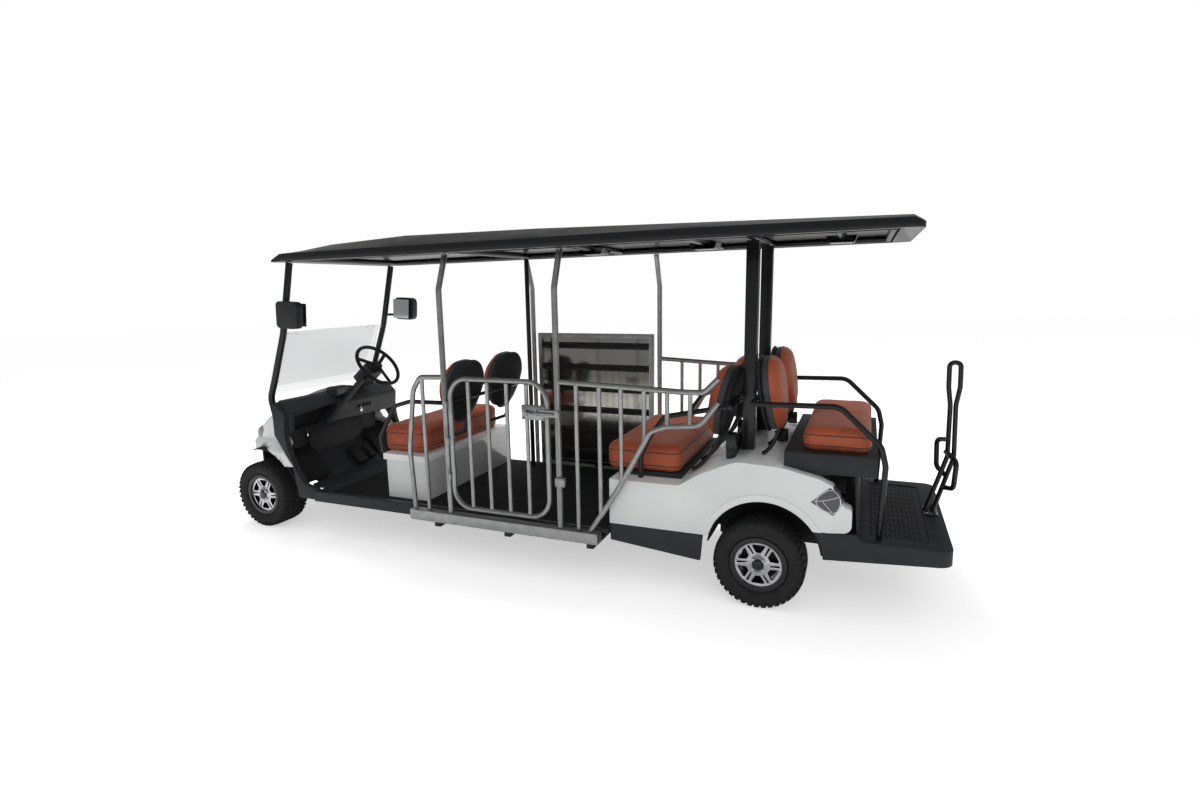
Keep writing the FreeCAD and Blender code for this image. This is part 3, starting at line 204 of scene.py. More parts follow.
@dataclass(frozen=True)
class DrawnTube(Finish):
    """Bare drawn metal: fine draw lines along one axis and patches of duller oxide."""

    along: tuple[float, float, float] = (1.0, 1.0, 1.0)
    oxide_mm: float = 24.0

    def dress(self, tree: bpy.types.NodeTree, shader: bpy.types.Node, place: bpy.types.NodeSocket) -> None:
        """Lay the oxide's colour, the duller patches and the draw lines."""
        self.wandering_colour(tree, shader, place)
        stretched = add_node(tree, "ShaderNodeMapping", {"Scale": self.along}, {"Vector": place}).outputs[0]
        lines = self.noise(tree, stretched, self.grain_mm)
        dull = add_node(tree, "ShaderNodeMapRange",
                        {"To Min": self.roughness - 0.08, "To Max": self.roughness + 0.12},
                        {"Value": self.noise(tree, place, self.oxide_mm)})
        tree.links.new(dull.outputs["Result"], shader.inputs["Roughness"])
        self.bump(tree, shader, lines, self.grain_depth_mm)


@dataclass(frozen=True)
class CoveredVinyl(Finish):
    """Coated cloth: a leather-like cell grain with a soft sheen."""

    def dress(self, tree: bpy.types.NodeTree, shader: bpy.types.Node, place: bpy.types.NodeSocket) -> None:
        """Lay the colour, the cell grain and the sheen."""
        self.wandering_colour(tree, shader, place)
        cells = add_node(tree, "ShaderNodeTexVoronoi", {"Scale": 1 / (self.grain_mm * MM)}, {"Vector": place},
                         feature="SMOOTH_F1")
        shader.inputs["Sheen Weight"].default_value = 0.12
        shader.inputs["Sheen Roughness"].default_value = 0.4
        self.bump(tree, shader, cells.outputs["Distance"], self.grain_depth_mm)


@dataclass(frozen=True)
class ClearSheet(Finish):
    """Clear sheet: acrylic or film that shows what is behind and catches the light."""

    ior: float = 1.49
    see_through: float = 0.9

    def dress(self, tree: bpy.types.NodeTree, shader: bpy.types.Node, place: bpy.types.NodeSocket) -> None:
        """Lay a thin glass: mostly see-through, with a gloss on top."""
        shader.inputs["Base Color"].default_value = linear(self.colour)
        shader.inputs["IOR"].default_value = self.ior
        shader.inputs["Alpha"].default_value = 1 - self.see_through
        self.bump(tree, shader, self.noise(tree, place, self.grain_mm), self.grain_depth_mm)


# Gloss moulded ABS: a bright white skin with soft, slightly wavy reflections.
WHITE_ABS = Finish("gloss_white_abs", "#e4e6e6", 0.24, coat=0.35, grain_mm=26, grain_depth_mm=0.08,
                   wander=0.02)
# Gloss moulded ABS, black: the roof's deep mirror with the same waviness.
BLACK_ABS = Finish("gloss_black_abs", "#0d0f11", 0.22, coat=0.2, grain_mm=30, grain_depth_mm=0.06,
                   wander=0.1)
# Grained polypropylene: dull charcoal mouldings with a pebble grain, drawn as coarse as it needs to show.
GRAINED_PP = Finish("grained_polypropylene", "#25282a", 0.55, grain_mm=1.6, grain_depth_mm=0.16,
                    wander=0.1)
# The darker polypropylene of liners and undersides.
LINER_PP = Finish("liner_polypropylene", "#141617", 0.68, grain_mm=2.4, grain_depth_mm=0.2, wander=0.12)
# Powder coat on steel tube: satin black with a fine orange peel.
POWDER_COAT = Finish("satin_powder_coat", "#121415", 0.3, coat=0.15, grain_mm=3.0, grain_depth_mm=0.04,
                     wander=0.1)
# Chassis paint: dull black that has picked up some dust.
CHASSIS_PAINT = Finish("chassis_paint", "#1b1c1c", 0.6, grain_mm=4.0, grain_depth_mm=0.08, wander=0.25)
# Drawn aluminium tube, bare: grey satin with draw lines and cloudy oxide.
BARE_ALUMINIUM = DrawnTube("bare_aluminium_tube", "#b4b6b5", 0.36, metallic=1.0, grain_mm=1.4,
                           grain_depth_mm=0.03, wander=0.1, wander_mm=60, along=(1.0, 1.0, 0.06))
# Polished aluminium sheet on the ramp: a soft, slightly rippled mirror.
POLISHED_SHEET = Finish("polished_aluminium_sheet", "#b9b8b0", 0.12, metallic=1.0, grain_mm=70,
                        grain_depth_mm=0.5, wander=0.05)
# Tread rubber: matt black-grey with a dry bloom.
TREAD_RUBBER = Finish("tread_rubber", "#222324", 0.82, grain_mm=3.0, grain_depth_mm=0.25, wander=0.14,
                      wander_mm=40)
# Moulded rubber of grips and clips.
GRIP_RUBBER = Finish("moulded_rubber", "#151515", 0.6, grain_mm=1.5, grain_depth_mm=0.1)
# Machined alloy: the bright turned faces of the wheels.
MACHINED_ALLOY = Finish("machined_alloy", "#cfd1d3", 0.2, metallic=1.0, grain_mm=1.0, grain_depth_mm=0.015,
                        wander=0.03)
# Two-tone seat vinyl: the terracotta panels.
ORANGE_VINYL = CoveredVinyl("terracotta_vinyl", "#a8502f", 0.5, grain_mm=1.8, grain_depth_mm=0.14,
                            wander=0.06)
# Two-tone seat vinyl: the charcoal bolsters.
CHARCOAL_VINYL = CoveredVinyl("charcoal_vinyl", "#3b3d3e", 0.5, grain_mm=1.8, grain_depth_mm=0.14,
                              wander=0.06)
# Cast acrylic: nearly unseen but for its edges and its gloss.
CLEAR_ACRYLIC = ClearSheet("clear_acrylic", "#dfe6e8", 0.04, grain_mm=200, grain_depth_mm=0.3,
                           see_through=0.86)
# Lamp housing under a clear lens: black gloss, with lighter patches of painted reflection from a strong colour
# wander, standing for the reflectors catching some light.
LAMP_GLASS = Finish("lamp_glass", "#17191c", 0.1, coat=0.6, grain_mm=14, grain_depth_mm=0.3, wander=0.5,
                    wander_mm=24)
# Black lacquer in the wheels' pockets and on their caps.
POCKET_BLACK = Finish("pocket_black_lacquer", "#0c0d0e", 0.3, coat=0.3, grain_mm=6.0, grain_depth_mm=0.03)
# Chrome plate: nuts, keys and lamp reflectors.
CHROME = Finish("bright_chrome", "#d9dbdd", 0.07, metallic=1.0, grain_mm=30, grain_depth_mm=0.05, wander=0.02)
# Rubber floor mat: dull black with scuffs.
MAT_RUBBER = Finish("floor_mat_rubber", "#17191a", 0.7, grain_mm=3.0, grain_depth_mm=0.15, wander=0.2,
                    wander_mm=90)
# Weld metal: grey, finely rippled, a little duller than the tube.
WELD_BEAD = Finish("weld_metal", "#a3a5a5", 0.4, metallic=1.0, grain_mm=2.2, grain_depth_mm=0.4, wander=0.15,
                   wander_mm=12)
# Zinc-plated brackets and bolts: soft grey metal.
BRUSHED_PLATE = Finish("zinc_plated_steel", "#a9abac", 0.32, metallic=1.0, grain_mm=1.2, grain_depth_mm=0.03,
                       wander=0.1, wander_mm=30)
# Mirror glass: a clean reflection.
MIRROR_GLASS = Finish("mirror_glass", "#e3e8ea", 0.03, metallic=1.0, grain_mm=200, grain_depth_mm=0.02,
                      wander=0.0)
# Frosted lens of the roof lamps.
FROSTED_LENS = Finish("frosted_lens", "#c9cccd", 0.45, grain_mm=3.0, grain_depth_mm=0.1, wander=0.02)


def only(*pieces: bpy.types.Object) -> None:
    """Select just these pieces, with the last one active."""
    bpy.ops.object.select_all(action="DESELECT")
    for piece in pieces:
        piece.select_set(True)
    bpy.context.view_layer.objects.active = pieces[-1]


def apply_modifiers(piece: bpy.types.Object) -> None:
    """Apply the piece's modifiers in order."""
    only(piece)
    for modifier in list(piece.modifiers):
        bpy.ops.object.modifier_apply(modifier=modifier.name)


def dressed(piece: bpy.types.Object, finish: Finish, body: str,
            nodes: Sequence[str] = ()) -> bpy.types.Object:
    """Give a finished piece its material, its body and the nodes that it stands for.

    Args:
        piece: The piece, in place.
        finish: Its surface.
        body: The body that it rides on.
        nodes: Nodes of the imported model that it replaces.

    Returns:
        The piece.
    """
    only(piece)
    bpy.ops.object.transform_apply(location=True, rotation=True, scale=True)
    piece.data.materials.clear()
    piece.data.materials.append(finish.material())
    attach(piece, body)
    if nodes:
        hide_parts(*nodes)
    return piece


@dataclass(frozen=True)
class Camera:
    """The photographer's place, in metres and degrees."""

    place: tuple[float, float, float] = (3.7773, FRONT_AXLE + 3.9201, 1.6568)
    heading: float = 22.305
    tilt: float = 9.923
    roll: float = 0.963
    lens_mm: float = 19.42

    def build(self) -> None:
        """Add the camera and look along its heading, tilted down and rolled a little."""
        bpy.ops.object.camera_add(location=self.place)
        camera = bpy.context.object
        heading, tilt = math.radians(self.heading), math.radians(self.tilt)
        ahead = Vector((-math.cos(heading) * math.cos(tilt), -math.sin(heading) * math.cos(tilt),
                        -math.sin(tilt)))
        right = ahead.cross(Vector((0, 0, 1))).normalized()
        down = ahead.cross(right)
        turn = math.radians(self.roll)
        across = right * math.cos(turn) + down * math.sin(turn)
        below = down * math.cos(turn) - right * math.sin(turn)
        camera.rotation_euler = Matrix((across, -below, -ahead)).transposed().to_euler()
        camera.data.lens = self.lens_mm
        camera.data.sensor_width = 36
        bpy.context.scene.camera = camera


@dataclass(frozen=True)
class Studio:
    """A pale floor, a pale surround and soft lamps.

    The surround lights the cart at the ambient strength, and glossy pieces mirror a share of that.
    """

    floor_size: float = 60.0
    lamp_size: float = 5.0
    ambient: float = 0.55
    mirrored: float = 0.45
    key_power: float = 420.0
    fill_power: float = 120.0
    floor_glow: float = 0.5

    def background_rays(self, tree: bpy.types.NodeTree) -> bpy.types.NodeSocket:
        """One for rays from the camera, or that a clear sheet passes on."""
        path = add_node(tree, "ShaderNodeLightPath")
        return add_node(tree, "ShaderNodeMath", links={0: path.outputs["Is Camera Ray"],
                                                       1: path.outputs["Is Transmission Ray"]},
                        operation="MAXIMUM").outputs[0]

    def build(self) -> None:
        """Make the world, the floor and the lamps."""
        bpy.context.scene.view_settings.view_transform = "Standard"
        self.world()
        self.floor()
        self.lamp("key", (-2.5, -2.0, 6.0), self.key_power)
        self.lamp("fill", (6.5, 3.5, 4.0), self.fill_power)

    def world(self) -> None:
        """A white surround for what is seen and a dimmer one for what is lit."""
        world = bpy.data.worlds.new("pale_surround")
        bpy.context.scene.world = world
        world.use_nodes = True
        tree = world.node_tree
        tree.nodes.clear()
        lit = add_node(tree, "ShaderNodeMapRange", {"To Min": self.ambient, "To Max": 1.0},
                       {"Value": self.background_rays(tree)})
        share = add_node(tree, "ShaderNodeMapRange", {"To Min": 1.0, "To Max": self.mirrored},
                         {"Value": add_node(tree, "ShaderNodeLightPath").outputs["Is Glossy Ray"]})
        strength = add_node(tree, "ShaderNodeMath", operation="MULTIPLY",
                            links={0: lit.outputs["Result"], 1: share.outputs["Result"]})
        sky = add_node(tree, "ShaderNodeBackground", {"Color": (1, 1, 1, 1)},
                       {"Strength": strength.outputs[0]})
        add_node(tree, "ShaderNodeOutputWorld", links={"Surface": sky.outputs[0]})

    def floor(self) -> None:
        """A pale floor that keeps the cart's shadow and glows a little where it is seen."""
        bpy.ops.mesh.primitive_plane_add(size=self.floor_size)
        floor = bpy.context.object
        floor.location = (0, 0, 0)
        floor.name = "studio_floor"
        finish = bpy.data.materials.new("pale_floor")
        finish.use_nodes = True
        tree = finish.node_tree
        tree.nodes.clear()
        glow = add_node(tree, "ShaderNodeMath", {1: self.floor_glow}, {0: self.background_rays(tree)},
                        operation="MULTIPLY")
        light = add_node(tree, "ShaderNodeEmission", {"Color": (1, 1, 1, 1)}, {"Strength": glow.outputs[0]})
        matt = add_node(tree, "ShaderNodeBsdfDiffuse", {"Color": linear("#f2f2f2")})
        both = add_node(tree, "ShaderNodeAddShader", links={0: light.outputs[0], 1: matt.outputs[0]})
        add_node(tree, "ShaderNodeOutputMaterial", links={"Surface": both.outputs[0]})
        floor.data.materials.append(finish)

    def lamp(self, name: str, place: tuple[float, float, float], power: float) -> None:
        """A square soft lamp that faces the cart's middle and shows in no gloss."""
        bpy.ops.object.light_add(type="AREA", location=place)
        lamp = bpy.context.object
        lamp.name = name
        lamp.data.size = self.lamp_size
        lamp.data.energy = power
        lamp.visible_glossy = False
        lamp.rotation_euler = (Vector((0, 0, 0.6)) - Vector(place)).to_track_quat("-Z", "Y").to_euler()


@dataclass(frozen=True)
class Coachwork:
    """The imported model's own pieces, softened at their edges and finished.

    A node with more faces than the dense count is smooth enough and keeps its edges.
    """

    dense: int = 20000
    merge: float = 0.00001
    finishes: tuple[tuple[str, Finish], ...] = (
        ("chassis_frame", CHASSIS_PAINT), ("floor_deck", GRAINED_PP), ("side_skirts", GRAINED_PP),
        ("headlamps", LAMP_GLASS), ("front_cowl", WHITE_ABS), ("front_bumper", LINER_PP),
        ("dash_panel", GRAINED_PP), ("pedals", GRIP_RUBBER), ("windscreen_lower", CLEAR_ACRYLIC),
        ("windscreen_upper", CLEAR_ACRYLIC), ("mirrors", GRAINED_PP), ("steering_column", GRAINED_PP),
        ("steering_wheel", GRIP_RUBBER), ("front_seat_base", WHITE_ABS),
        ("rear_body", WHITE_ABS), ("rear_arch_liners", LINER_PP), ("tail_lamps", LAMP_GLASS),
        ("middle_seat_tray", GRAINED_PP), ("aft_seat_base", GRAINED_PP), ("seat_back_frames", POWDER_COAT),
        ("armrests", POWDER_COAT), ("rear_deck", GRAINED_PP), ("aft_grab_rails", POWDER_COAT),
        ("aft_grab_handle", POWDER_COAT), ("roof_canopy", BLACK_ABS), ("roof_frame", POWDER_COAT),
        ("roof_posts", POWDER_COAT), ("side_rails_left", BARE_ALUMINIUM),
        ("side_rails_right", BARE_ALUMINIUM), ("gate", BARE_ALUMINIUM), ("ramp", BARE_ALUMINIUM),
        ("front_axle", CHASSIS_PAINT),
        ("knuckle_left", CHASSIS_PAINT), ("knuckle_right", CHASSIS_PAINT), ("tie_rod", CHASSIS_PAINT),
        ("rear_axle", CHASSIS_PAINT), ("drive_motor", CHASSIS_PAINT), ("battery_pack", CHASSIS_PAINT))

    def build(self) -> None:
        """Finish each node, in a copy whose facets are merged and smoothed."""
        for name, finish in self.finishes:
            self.soften(name, finish)

    def soften(self, name: str, finish: Finish, width: float = 0.0015) -> bpy.types.Object:
        """Stand a merged copy with rounded edges in a node's place.

        Args:
            name: The node.
            finish: Its surface.
            width: How far each sharp edge is rounded.

        Returns:
            The copy.
        """
        source = frame["nodes"][name]
        piece = bpy.data.objects.new(name + "_skin", source.data.copy())
        bpy.context.scene.collection.objects.link(piece)
        only(piece)
        bpy.ops.object.mode_set(mode="EDIT")
        bpy.ops.mesh.select_all(action="SELECT")
        bpy.ops.mesh.remove_doubles(threshold=self.merge)
        bpy.ops.object.mode_set(mode="OBJECT")
        if len(piece.data.polygons) < self.dense:
            edge = piece.modifiers.new("Edge", "BEVEL")
            edge.width = width
            edge.segments = 2
            edge.limit_method = "ANGLE"
            edge.angle_limit = math.radians(35)
            apply_modifiers(piece)
        only(piece)
        bpy.ops.object.shade_smooth_by_angle(angle=math.radians(32))
        return dressed(piece, finish, source["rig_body"], [name])


def edit_all(piece: bpy.types.Object) -> None:
    """Open the piece for editing with all of it selected."""
    only(piece)
    bpy.ops.object.mode_set(mode="EDIT")
    bpy.ops.mesh.select_all(action="SELECT")


def rounded(piece: bpy.types.Object, width: float, segments: int = 2) -> bpy.types.Object:
    """Round the piece's sharp edges and shade it smooth."""
    if width:
        edge = piece.modifiers.new("Edge", "BEVEL")
        edge.width = width
        edge.segments = segments
        edge.limit_method = "ANGLE"
        edge.angle_limit = math.radians(35)
        apply_modifiers(piece)
    only(piece)
    bpy.ops.object.shade_smooth_by_angle(angle=math.radians(38))
    return piece


def block(name: str, low: Sequence[float], high: Sequence[float], edge: float = 0.0015) -> bpy.types.Object:
    """A box between two corners, with rounded edges."""
    centre = [(a + b) / 2 for a, b in zip(low, high)]
    bpy.ops.mesh.primitive_cube_add(size=1, location=centre, scale=[b - a for a, b in zip(low, high)])
    piece = bpy.context.object
    piece.name = name
    bpy.ops.object.transform_apply(location=True, rotation=True, scale=True)
    return rounded(piece, edge)


def drum(name: str, centre: Sequence[float], radius: float, depth: float, axis: str = "X",
         edge: float = 0.001, vertices: int = 24) -> bpy.types.Object:
    """A round bar or disc along an axis."""
    turn = {"X": (0, math.pi / 2, 0), "Y": (math.pi / 2, 0, 0), "Z": (0, 0, 0)}[axis]
    bpy.ops.mesh.primitive_cylinder_add(vertices=vertices, radius=radius, depth=depth, location=centre,
                                        rotation=turn)
    piece = bpy.context.object
    piece.name = name
    bpy.ops.object.transform_apply(location=True, rotation=True, scale=True)
    return rounded(piece, edge)


def flat_face(name: str, corners: Sequence[Sequence[float]], filled: bool = True) -> bpy.types.Object:
    """A flat outline with the given corners, filled or open."""
    bpy.ops.mesh.primitive_circle_add(vertices=len(corners), fill_type="NGON" if filled else "NOTHING",
                                      location=(0, 0, 0))
    piece = bpy.context.object
    piece.name = name
    for vertex, corner in zip(piece.data.vertices, corners):
        vertex.co = corner
    return piece


def plate(name: str, corners: Sequence[Sequence[float]], along: Sequence[float],
          edge: float = 0.001) -> bpy.types.Object:
    """A plate: an outline extruded along a direction."""
    piece = flat_face(name, corners)
    edit_all(piece)
    bpy.ops.mesh.extrude_region_move(TRANSFORM_OT_translate={"value": along})
    bpy.ops.mesh.select_all(action="SELECT")
    bpy.ops.mesh.normals_make_consistent(inside=False)
    bpy.ops.object.mode_set(mode="OBJECT")
    return rounded(piece, edge)


def lofted(name: str, corners: Sequence[Sequence[float]], rings: Sequence[tuple[float, float]],
           centre: Sequence[float]) -> bpy.types.Object:
    """Draw an outline out along Y through rings, each with a depth and a share of the outline's size.

    Args:
        name: The piece's name.
        corners: The outline, in the plane of the first ring.
        rings: Depth along Y and scale of each ring.
        centre: The point that the scales keep.

    Returns:
        The closed piece.
    """
    depth, size = rings[0]
    first = [[centre[0] + (x - centre[0]) * size, depth, centre[2] + (z - centre[2]) * size]
             for x, _, z in corners]
    piece = flat_face(name, first)
    edit_all(piece)
    for next_depth, next_size in rings[1:]:
        bpy.ops.mesh.extrude_region_move(TRANSFORM_OT_translate={"value": (0, next_depth - depth, 0)})
        share = next_size / size
        bpy.ops.transform.resize(value=(share, 1, share), center_override=(centre[0], next_depth, centre[2]))
        depth, size = next_depth, next_size
    bpy.ops.mesh.select_all(action="SELECT")
    bpy.ops.mesh.normals_make_consistent(inside=False)
    bpy.ops.object.mode_set(mode="OBJECT")
    return piece


def tube(name: str, points: Sequence[Sequence[float]], radius: float, closed: bool = False,
         straight: bool = False) -> bpy.types.Object:
    """A round tube along a smooth line through control points.

    Args:
        name: The piece's name.
        points: The control points.
        radius: The tube's radius.
        closed: Whether the ends meet.
        straight: Whether the runs stay straight.

    Returns:
        The tube as a mesh.
    """
    bpy.ops.curve.primitive_nurbs_path_add(location=(0, 0, 0))
    piece = bpy.context.object
    piece.name = name
    line = piece.data.splines[0]
    line.points.add(max(0, len(points) - len(line.points)))
    if len(points) < len(line.points):
        piece.data.splines.clear()
        line = piece.data.splines.new("NURBS")
        line.points.add(len(points) - 1)
    for point, place in zip(line.points, points):
        point.co = (*place, 1.0)
    line.use_cyclic_u = closed
    line.use_endpoint_u = not closed
    line.order_u = 2 if straight else 3
    line.resolution_u = 6
    piece.data.bevel_depth = radius
    piece.data.bevel_resolution = 3
    piece.data.use_fill_caps = not closed
    only(piece)
    bpy.ops.object.convert(target="MESH")
    bpy.ops.object.shade_smooth_by_angle(angle=math.radians(50))
    return piece


def joined(name: str, pieces: Sequence[bpy.types.Object]) -> bpy.types.Object:
    """Join pieces into the last of them."""
    only(*pieces)
    bpy.ops.object.join()
    bpy.context.object.name = name
    return bpy.context.object


def ringed(piece: bpy.types.Object, count: int, centre: Sequence[float]) -> bpy.types.Object:
    """Repeat a piece round an axis along X through a centre."""
    bpy.ops.object.select_all(action="DESELECT")
    bpy.context.scene.cursor.location = centre
    only(piece)
    bpy.ops.object.origin_set(type="ORIGIN_CURSOR")
    bpy.ops.object.empty_add(location=centre, rotation=(2 * math.pi / count, 0, 0))
    guide = bpy.context.object
    ring = piece.modifiers.new("Ring", "ARRAY")
    ring.count = count
    ring.use_relative_offset = False
    ring.use_object_offset = True
    ring.offset_object = guide
    apply_modifiers(piece)
    only(guide)
    bpy.ops.object.delete()
    only(piece)
    bpy.ops.object.transform_apply(location=True, rotation=True, scale=True)
    return piece


def in_rows(piece: bpy.types.Object, count: int, step: Sequence[float]) -> bpy.types.Object:
    """Repeat a piece in a straight row."""
    rows = piece.modifiers.new("Row", "ARRAY")
    rows.count = count
    rows.use_relative_offset = False
    rows.use_constant_offset = True
    rows.constant_offset_displace = step
    apply_modifiers(piece)
    return piece


def copied(piece: bpy.types.Object, name: str) -> bpy.types.Object:
    """A copy of the piece with its own mesh."""
    only(piece)
    bpy.ops.object.duplicate(linked=False)
    bpy.context.object.name = name
    return bpy.context.object


def across(piece: bpy.types.Object, name: str) -> bpy.types.Object:
    """A mirrored copy of the piece on the other side of the cart."""
    twin = copied(piece, name)
    twin.scale.x = -1
    bpy.ops.object.transform_apply(location=False, rotation=False, scale=True)
    edit_all(twin)
    bpy.ops.mesh.flip_normals()
    bpy.ops.object.mode_set(mode="OBJECT")
    return twin


def painted(piece: bpy.types.Object, finishes: Sequence[Finish],
            choose: Callable[[Vector, Vector], int]) -> None:
    """Give each face one of several finishes.

    Args:
        piece: The finished piece.
        finishes: The finishes, by number.
        choose: The number for a face with the given centre and normal.
    """
    piece.data.materials.clear()
    for finish in finishes:
        piece.data.materials.append(finish.material())
    for polygon in piece.data.polygons:
        polygon.material_index = choose(polygon.center, polygon.normal)


def inflated(piece: bpy.types.Object, cap: float, voxel: float = 0.008,
             pressure: float = 4.0) -> bpy.types.Object:
    """Blow a closed form up into a stuffed cushion.

    Args:
        piece: The closed form, a little smaller than the cushion.
        cap: The farthest that any point may move.
        voxel: Size of the remeshed facets.
        pressure: Pressure inside the cover.

    Returns:
        The same piece with the swelling applied.
    """
    remesh = piece.modifiers.new("Remesh", "REMESH")
    remesh.mode = "VOXEL"
    remesh.voxel_size = voxel
    apply_modifiers(piece)
    rest = [vertex.co.copy() for vertex in piece.data.vertices]
    cloth = piece.modifiers.new("Cloth", "CLOTH")
    cloth.settings.use_pressure = True
    cloth.settings.uniform_pressure_force = pressure
    cloth.settings.effector_weights.gravity = 0
    scene = bpy.context.scene
    scene.frame_end = SWELL_FRAMES
    for step in range(1, SWELL_FRAMES + 1):
        scene.frame_set(step)
    apply_modifiers(piece)
    scene.frame_set(1)
    for vertex, start in zip(piece.data.vertices, rest):
        moved = vertex.co - start
        if moved.length > cap:
            vertex.co = start + moved * (cap / moved.length)
    smooth = piece.modifiers.new("Smooth", "SMOOTH")
    smooth.iterations = 6
    fine = piece.modifiers.new("Fine", "SUBSURF")
    fine.levels = 1
    apply_modifiers(piece)
    only(piece)
    bpy.ops.object.shade_smooth()
    return piece


def welt(name: str, cushion: bpy.types.Object, points: Sequence[Sequence[float]],
         radius: float) -> bpy.types.Object:
    """A sewn welt that follows the cushion's skin near a closed line of points."""
    seated = [cushion.closest_point_on_mesh(Vector(point))[1] for point in points]
    return tube(name, seated, radius, closed=True)


@dataclass(frozen=True)
class Tyres:
    """Road tyres: a turned carcass with a rim guard, and blocks of tread between grooves.

    The profile's half side runs from the bead to the middle of the tread, as offset and radius. Each
    row of blocks has its edges across the tyre, its skew and its share of the pitch.
    """

    outer: float = 0.600
    inner: float = 0.395
    pitches: int = 40
    steps: int = 96
    half_side: tuple[tuple[float, float], ...] = (
        (0.0762, 0.1275), (0.0762, 0.1465), (0.083, 0.1500), (0.087, 0.1515), (0.0925, 0.155),
        (0.0985, 0.168), (0.1018, 0.184), (0.1010, 0.198), (0.0975, 0.210), (0.0925, 0.2195),
        (0.0840, 0.2255), (0.0450, 0.2275))
    widest: float = 0.1025
    rows: tuple[tuple[float, float, float, float], ...] = (
        (-0.092, -0.060, 0.10, 0.66), (-0.054, -0.024, -0.30, 0.74), (-0.018, 0.018, 0.35, 0.80),
        (0.024, 0.054, -0.30, 0.74), (0.060, 0.092, 0.10, 0.66))
    shoulder_drop: float = 0.0045

    def build(self) -> None:
        """Model the front left tyre and set copies of it on the other wheels."""
        first = self.model(front(0))
        for end, place in (("front", front(0)), ("rear", rear(0))):
            left = copied(first, f"tyre_{end}_left_treaded")
            left.location.y = place - front(0)
            only(left)
            bpy.ops.object.transform_apply(location=True, rotation=True, scale=True)
            right = across(left, f"tyre_{end}_right_treaded")
            for piece, side in ((left, "left"), (right, "right")):
                dressed(piece, TREAD_RUBBER, f"wheel_{end}_{side}", [f"tyre_{end}_{side}"])
        only(first)
        bpy.ops.object.delete()

    def model(self, place: float) -> bpy.types.Object:
        """The carcass and its tread at one axle."""
        middle, half = (self.outer + self.inner) / 2, (self.outer - self.inner) / 2
        profile = [*self.half_side, *[(-x, r) for x, r in reversed(self.half_side)]]
        shell = flat_face("carcass", [(middle + x * half / self.widest, place, WHEEL_RADIUS + r)
                                      for x, r in profile], filled=False)
        edit_all(shell)
        bpy.ops.mesh.spin(steps=self.steps, angle=2 * math.pi, center=(middle, place, WHEEL_RADIUS),
                          axis=(1, 0, 0))
        bpy.ops.mesh.select_all(action="SELECT")
        bpy.ops.mesh.remove_doubles(threshold=0.0002)
        bpy.ops.mesh.normals_make_consistent(inside=False)
        bpy.ops.object.mode_set(mode="OBJECT")
        bpy.ops.object.shade_smooth_by_angle(angle=math.radians(40))
        parts = [shell]
        for number in range(len(self.rows)):
            parts.insert(0, ringed(self.tread_block(number, middle, place), self.pitches,
                                   (middle, place, WHEEL_RADIUS)))
        top = 2 * WHEEL_RADIUS
        lug = block("shoulder_lug", (self.outer - 0.0085, place - 0.004, top - 0.030),
                    (self.outer - 0.0006, place + 0.004, top - 0.012), 0.001)
        parts.insert(0, ringed(lug, self.pitches, (middle, place, WHEEL_RADIUS)))
        return joined("tyre_treaded", parts)

    def tread_block(self, number: int, middle: float, place: float) -> bpy.types.Object:
        """One block of a row, at the top of the tyre.

        Args:
            number: The row, from the inner shoulder.
            middle: The tyre's middle across the cart.
            place: The axle's place along the cart.

        Returns:
            The block, bent round the axle.
        """
        low, high, skew, share = self.rows[number]
        pitch = 2 * math.pi * WHEEL_RADIUS / self.pitches
        top = 2 * WHEEL_RADIUS
        length = pitch * share
        shift = pitch * 0.5 * (number % 2)
        edge = self.shoulder_drop if abs(low + high) > 0.1 else 0.0
        low_drop, high_drop = (edge if low < -0.06 else 0.0), (edge if high > 0.06 else 0.0)
        corners = [(middle + x, place + y + shift, top - 0.0095) for x, y in (
            (low, -length / 2 + skew * low / 4), (high, -length / 2 + skew * high / 4),
            (high, length / 2 + skew * high / 4), (low, length / 2 + skew * low / 4))]
        made = flat_face("tread_block", corners)
        edit_all(made)
        bpy.ops.mesh.extrude_region_move(TRANSFORM_OT_translate={"value": (0, 0, 0.0093)})
        bpy.ops.mesh.select_all(action="SELECT")
        bpy.ops.mesh.normals_make_consistent(inside=False)
        bpy.ops.object.mode_set(mode="OBJECT")
        for vertex in made.data.vertices:
            if vertex.co.z > top - 0.002:
                vertex.co.z -= low_drop if vertex.co.x < middle + (low + high) / 2 else high_drop
        rounded(made, 0.0008, 1)
        self.wrap(made, place)
        return made

    def wrap(self, block_of_tread: bpy.types.Object, place: float) -> None:
        """Bend a flat block at the tyre's top round the axle, so that all of it stays on the tread."""
        for vertex in block_of_tread.data.vertices:
            reach = vertex.co.z - WHEEL_RADIUS
            turn = (vertex.co.y - place) / WHEEL_RADIUS
            vertex.co.y = place + reach * math.sin(turn)
            vertex.co.z = WHEEL_RADIUS + reach * math.cos(turn)


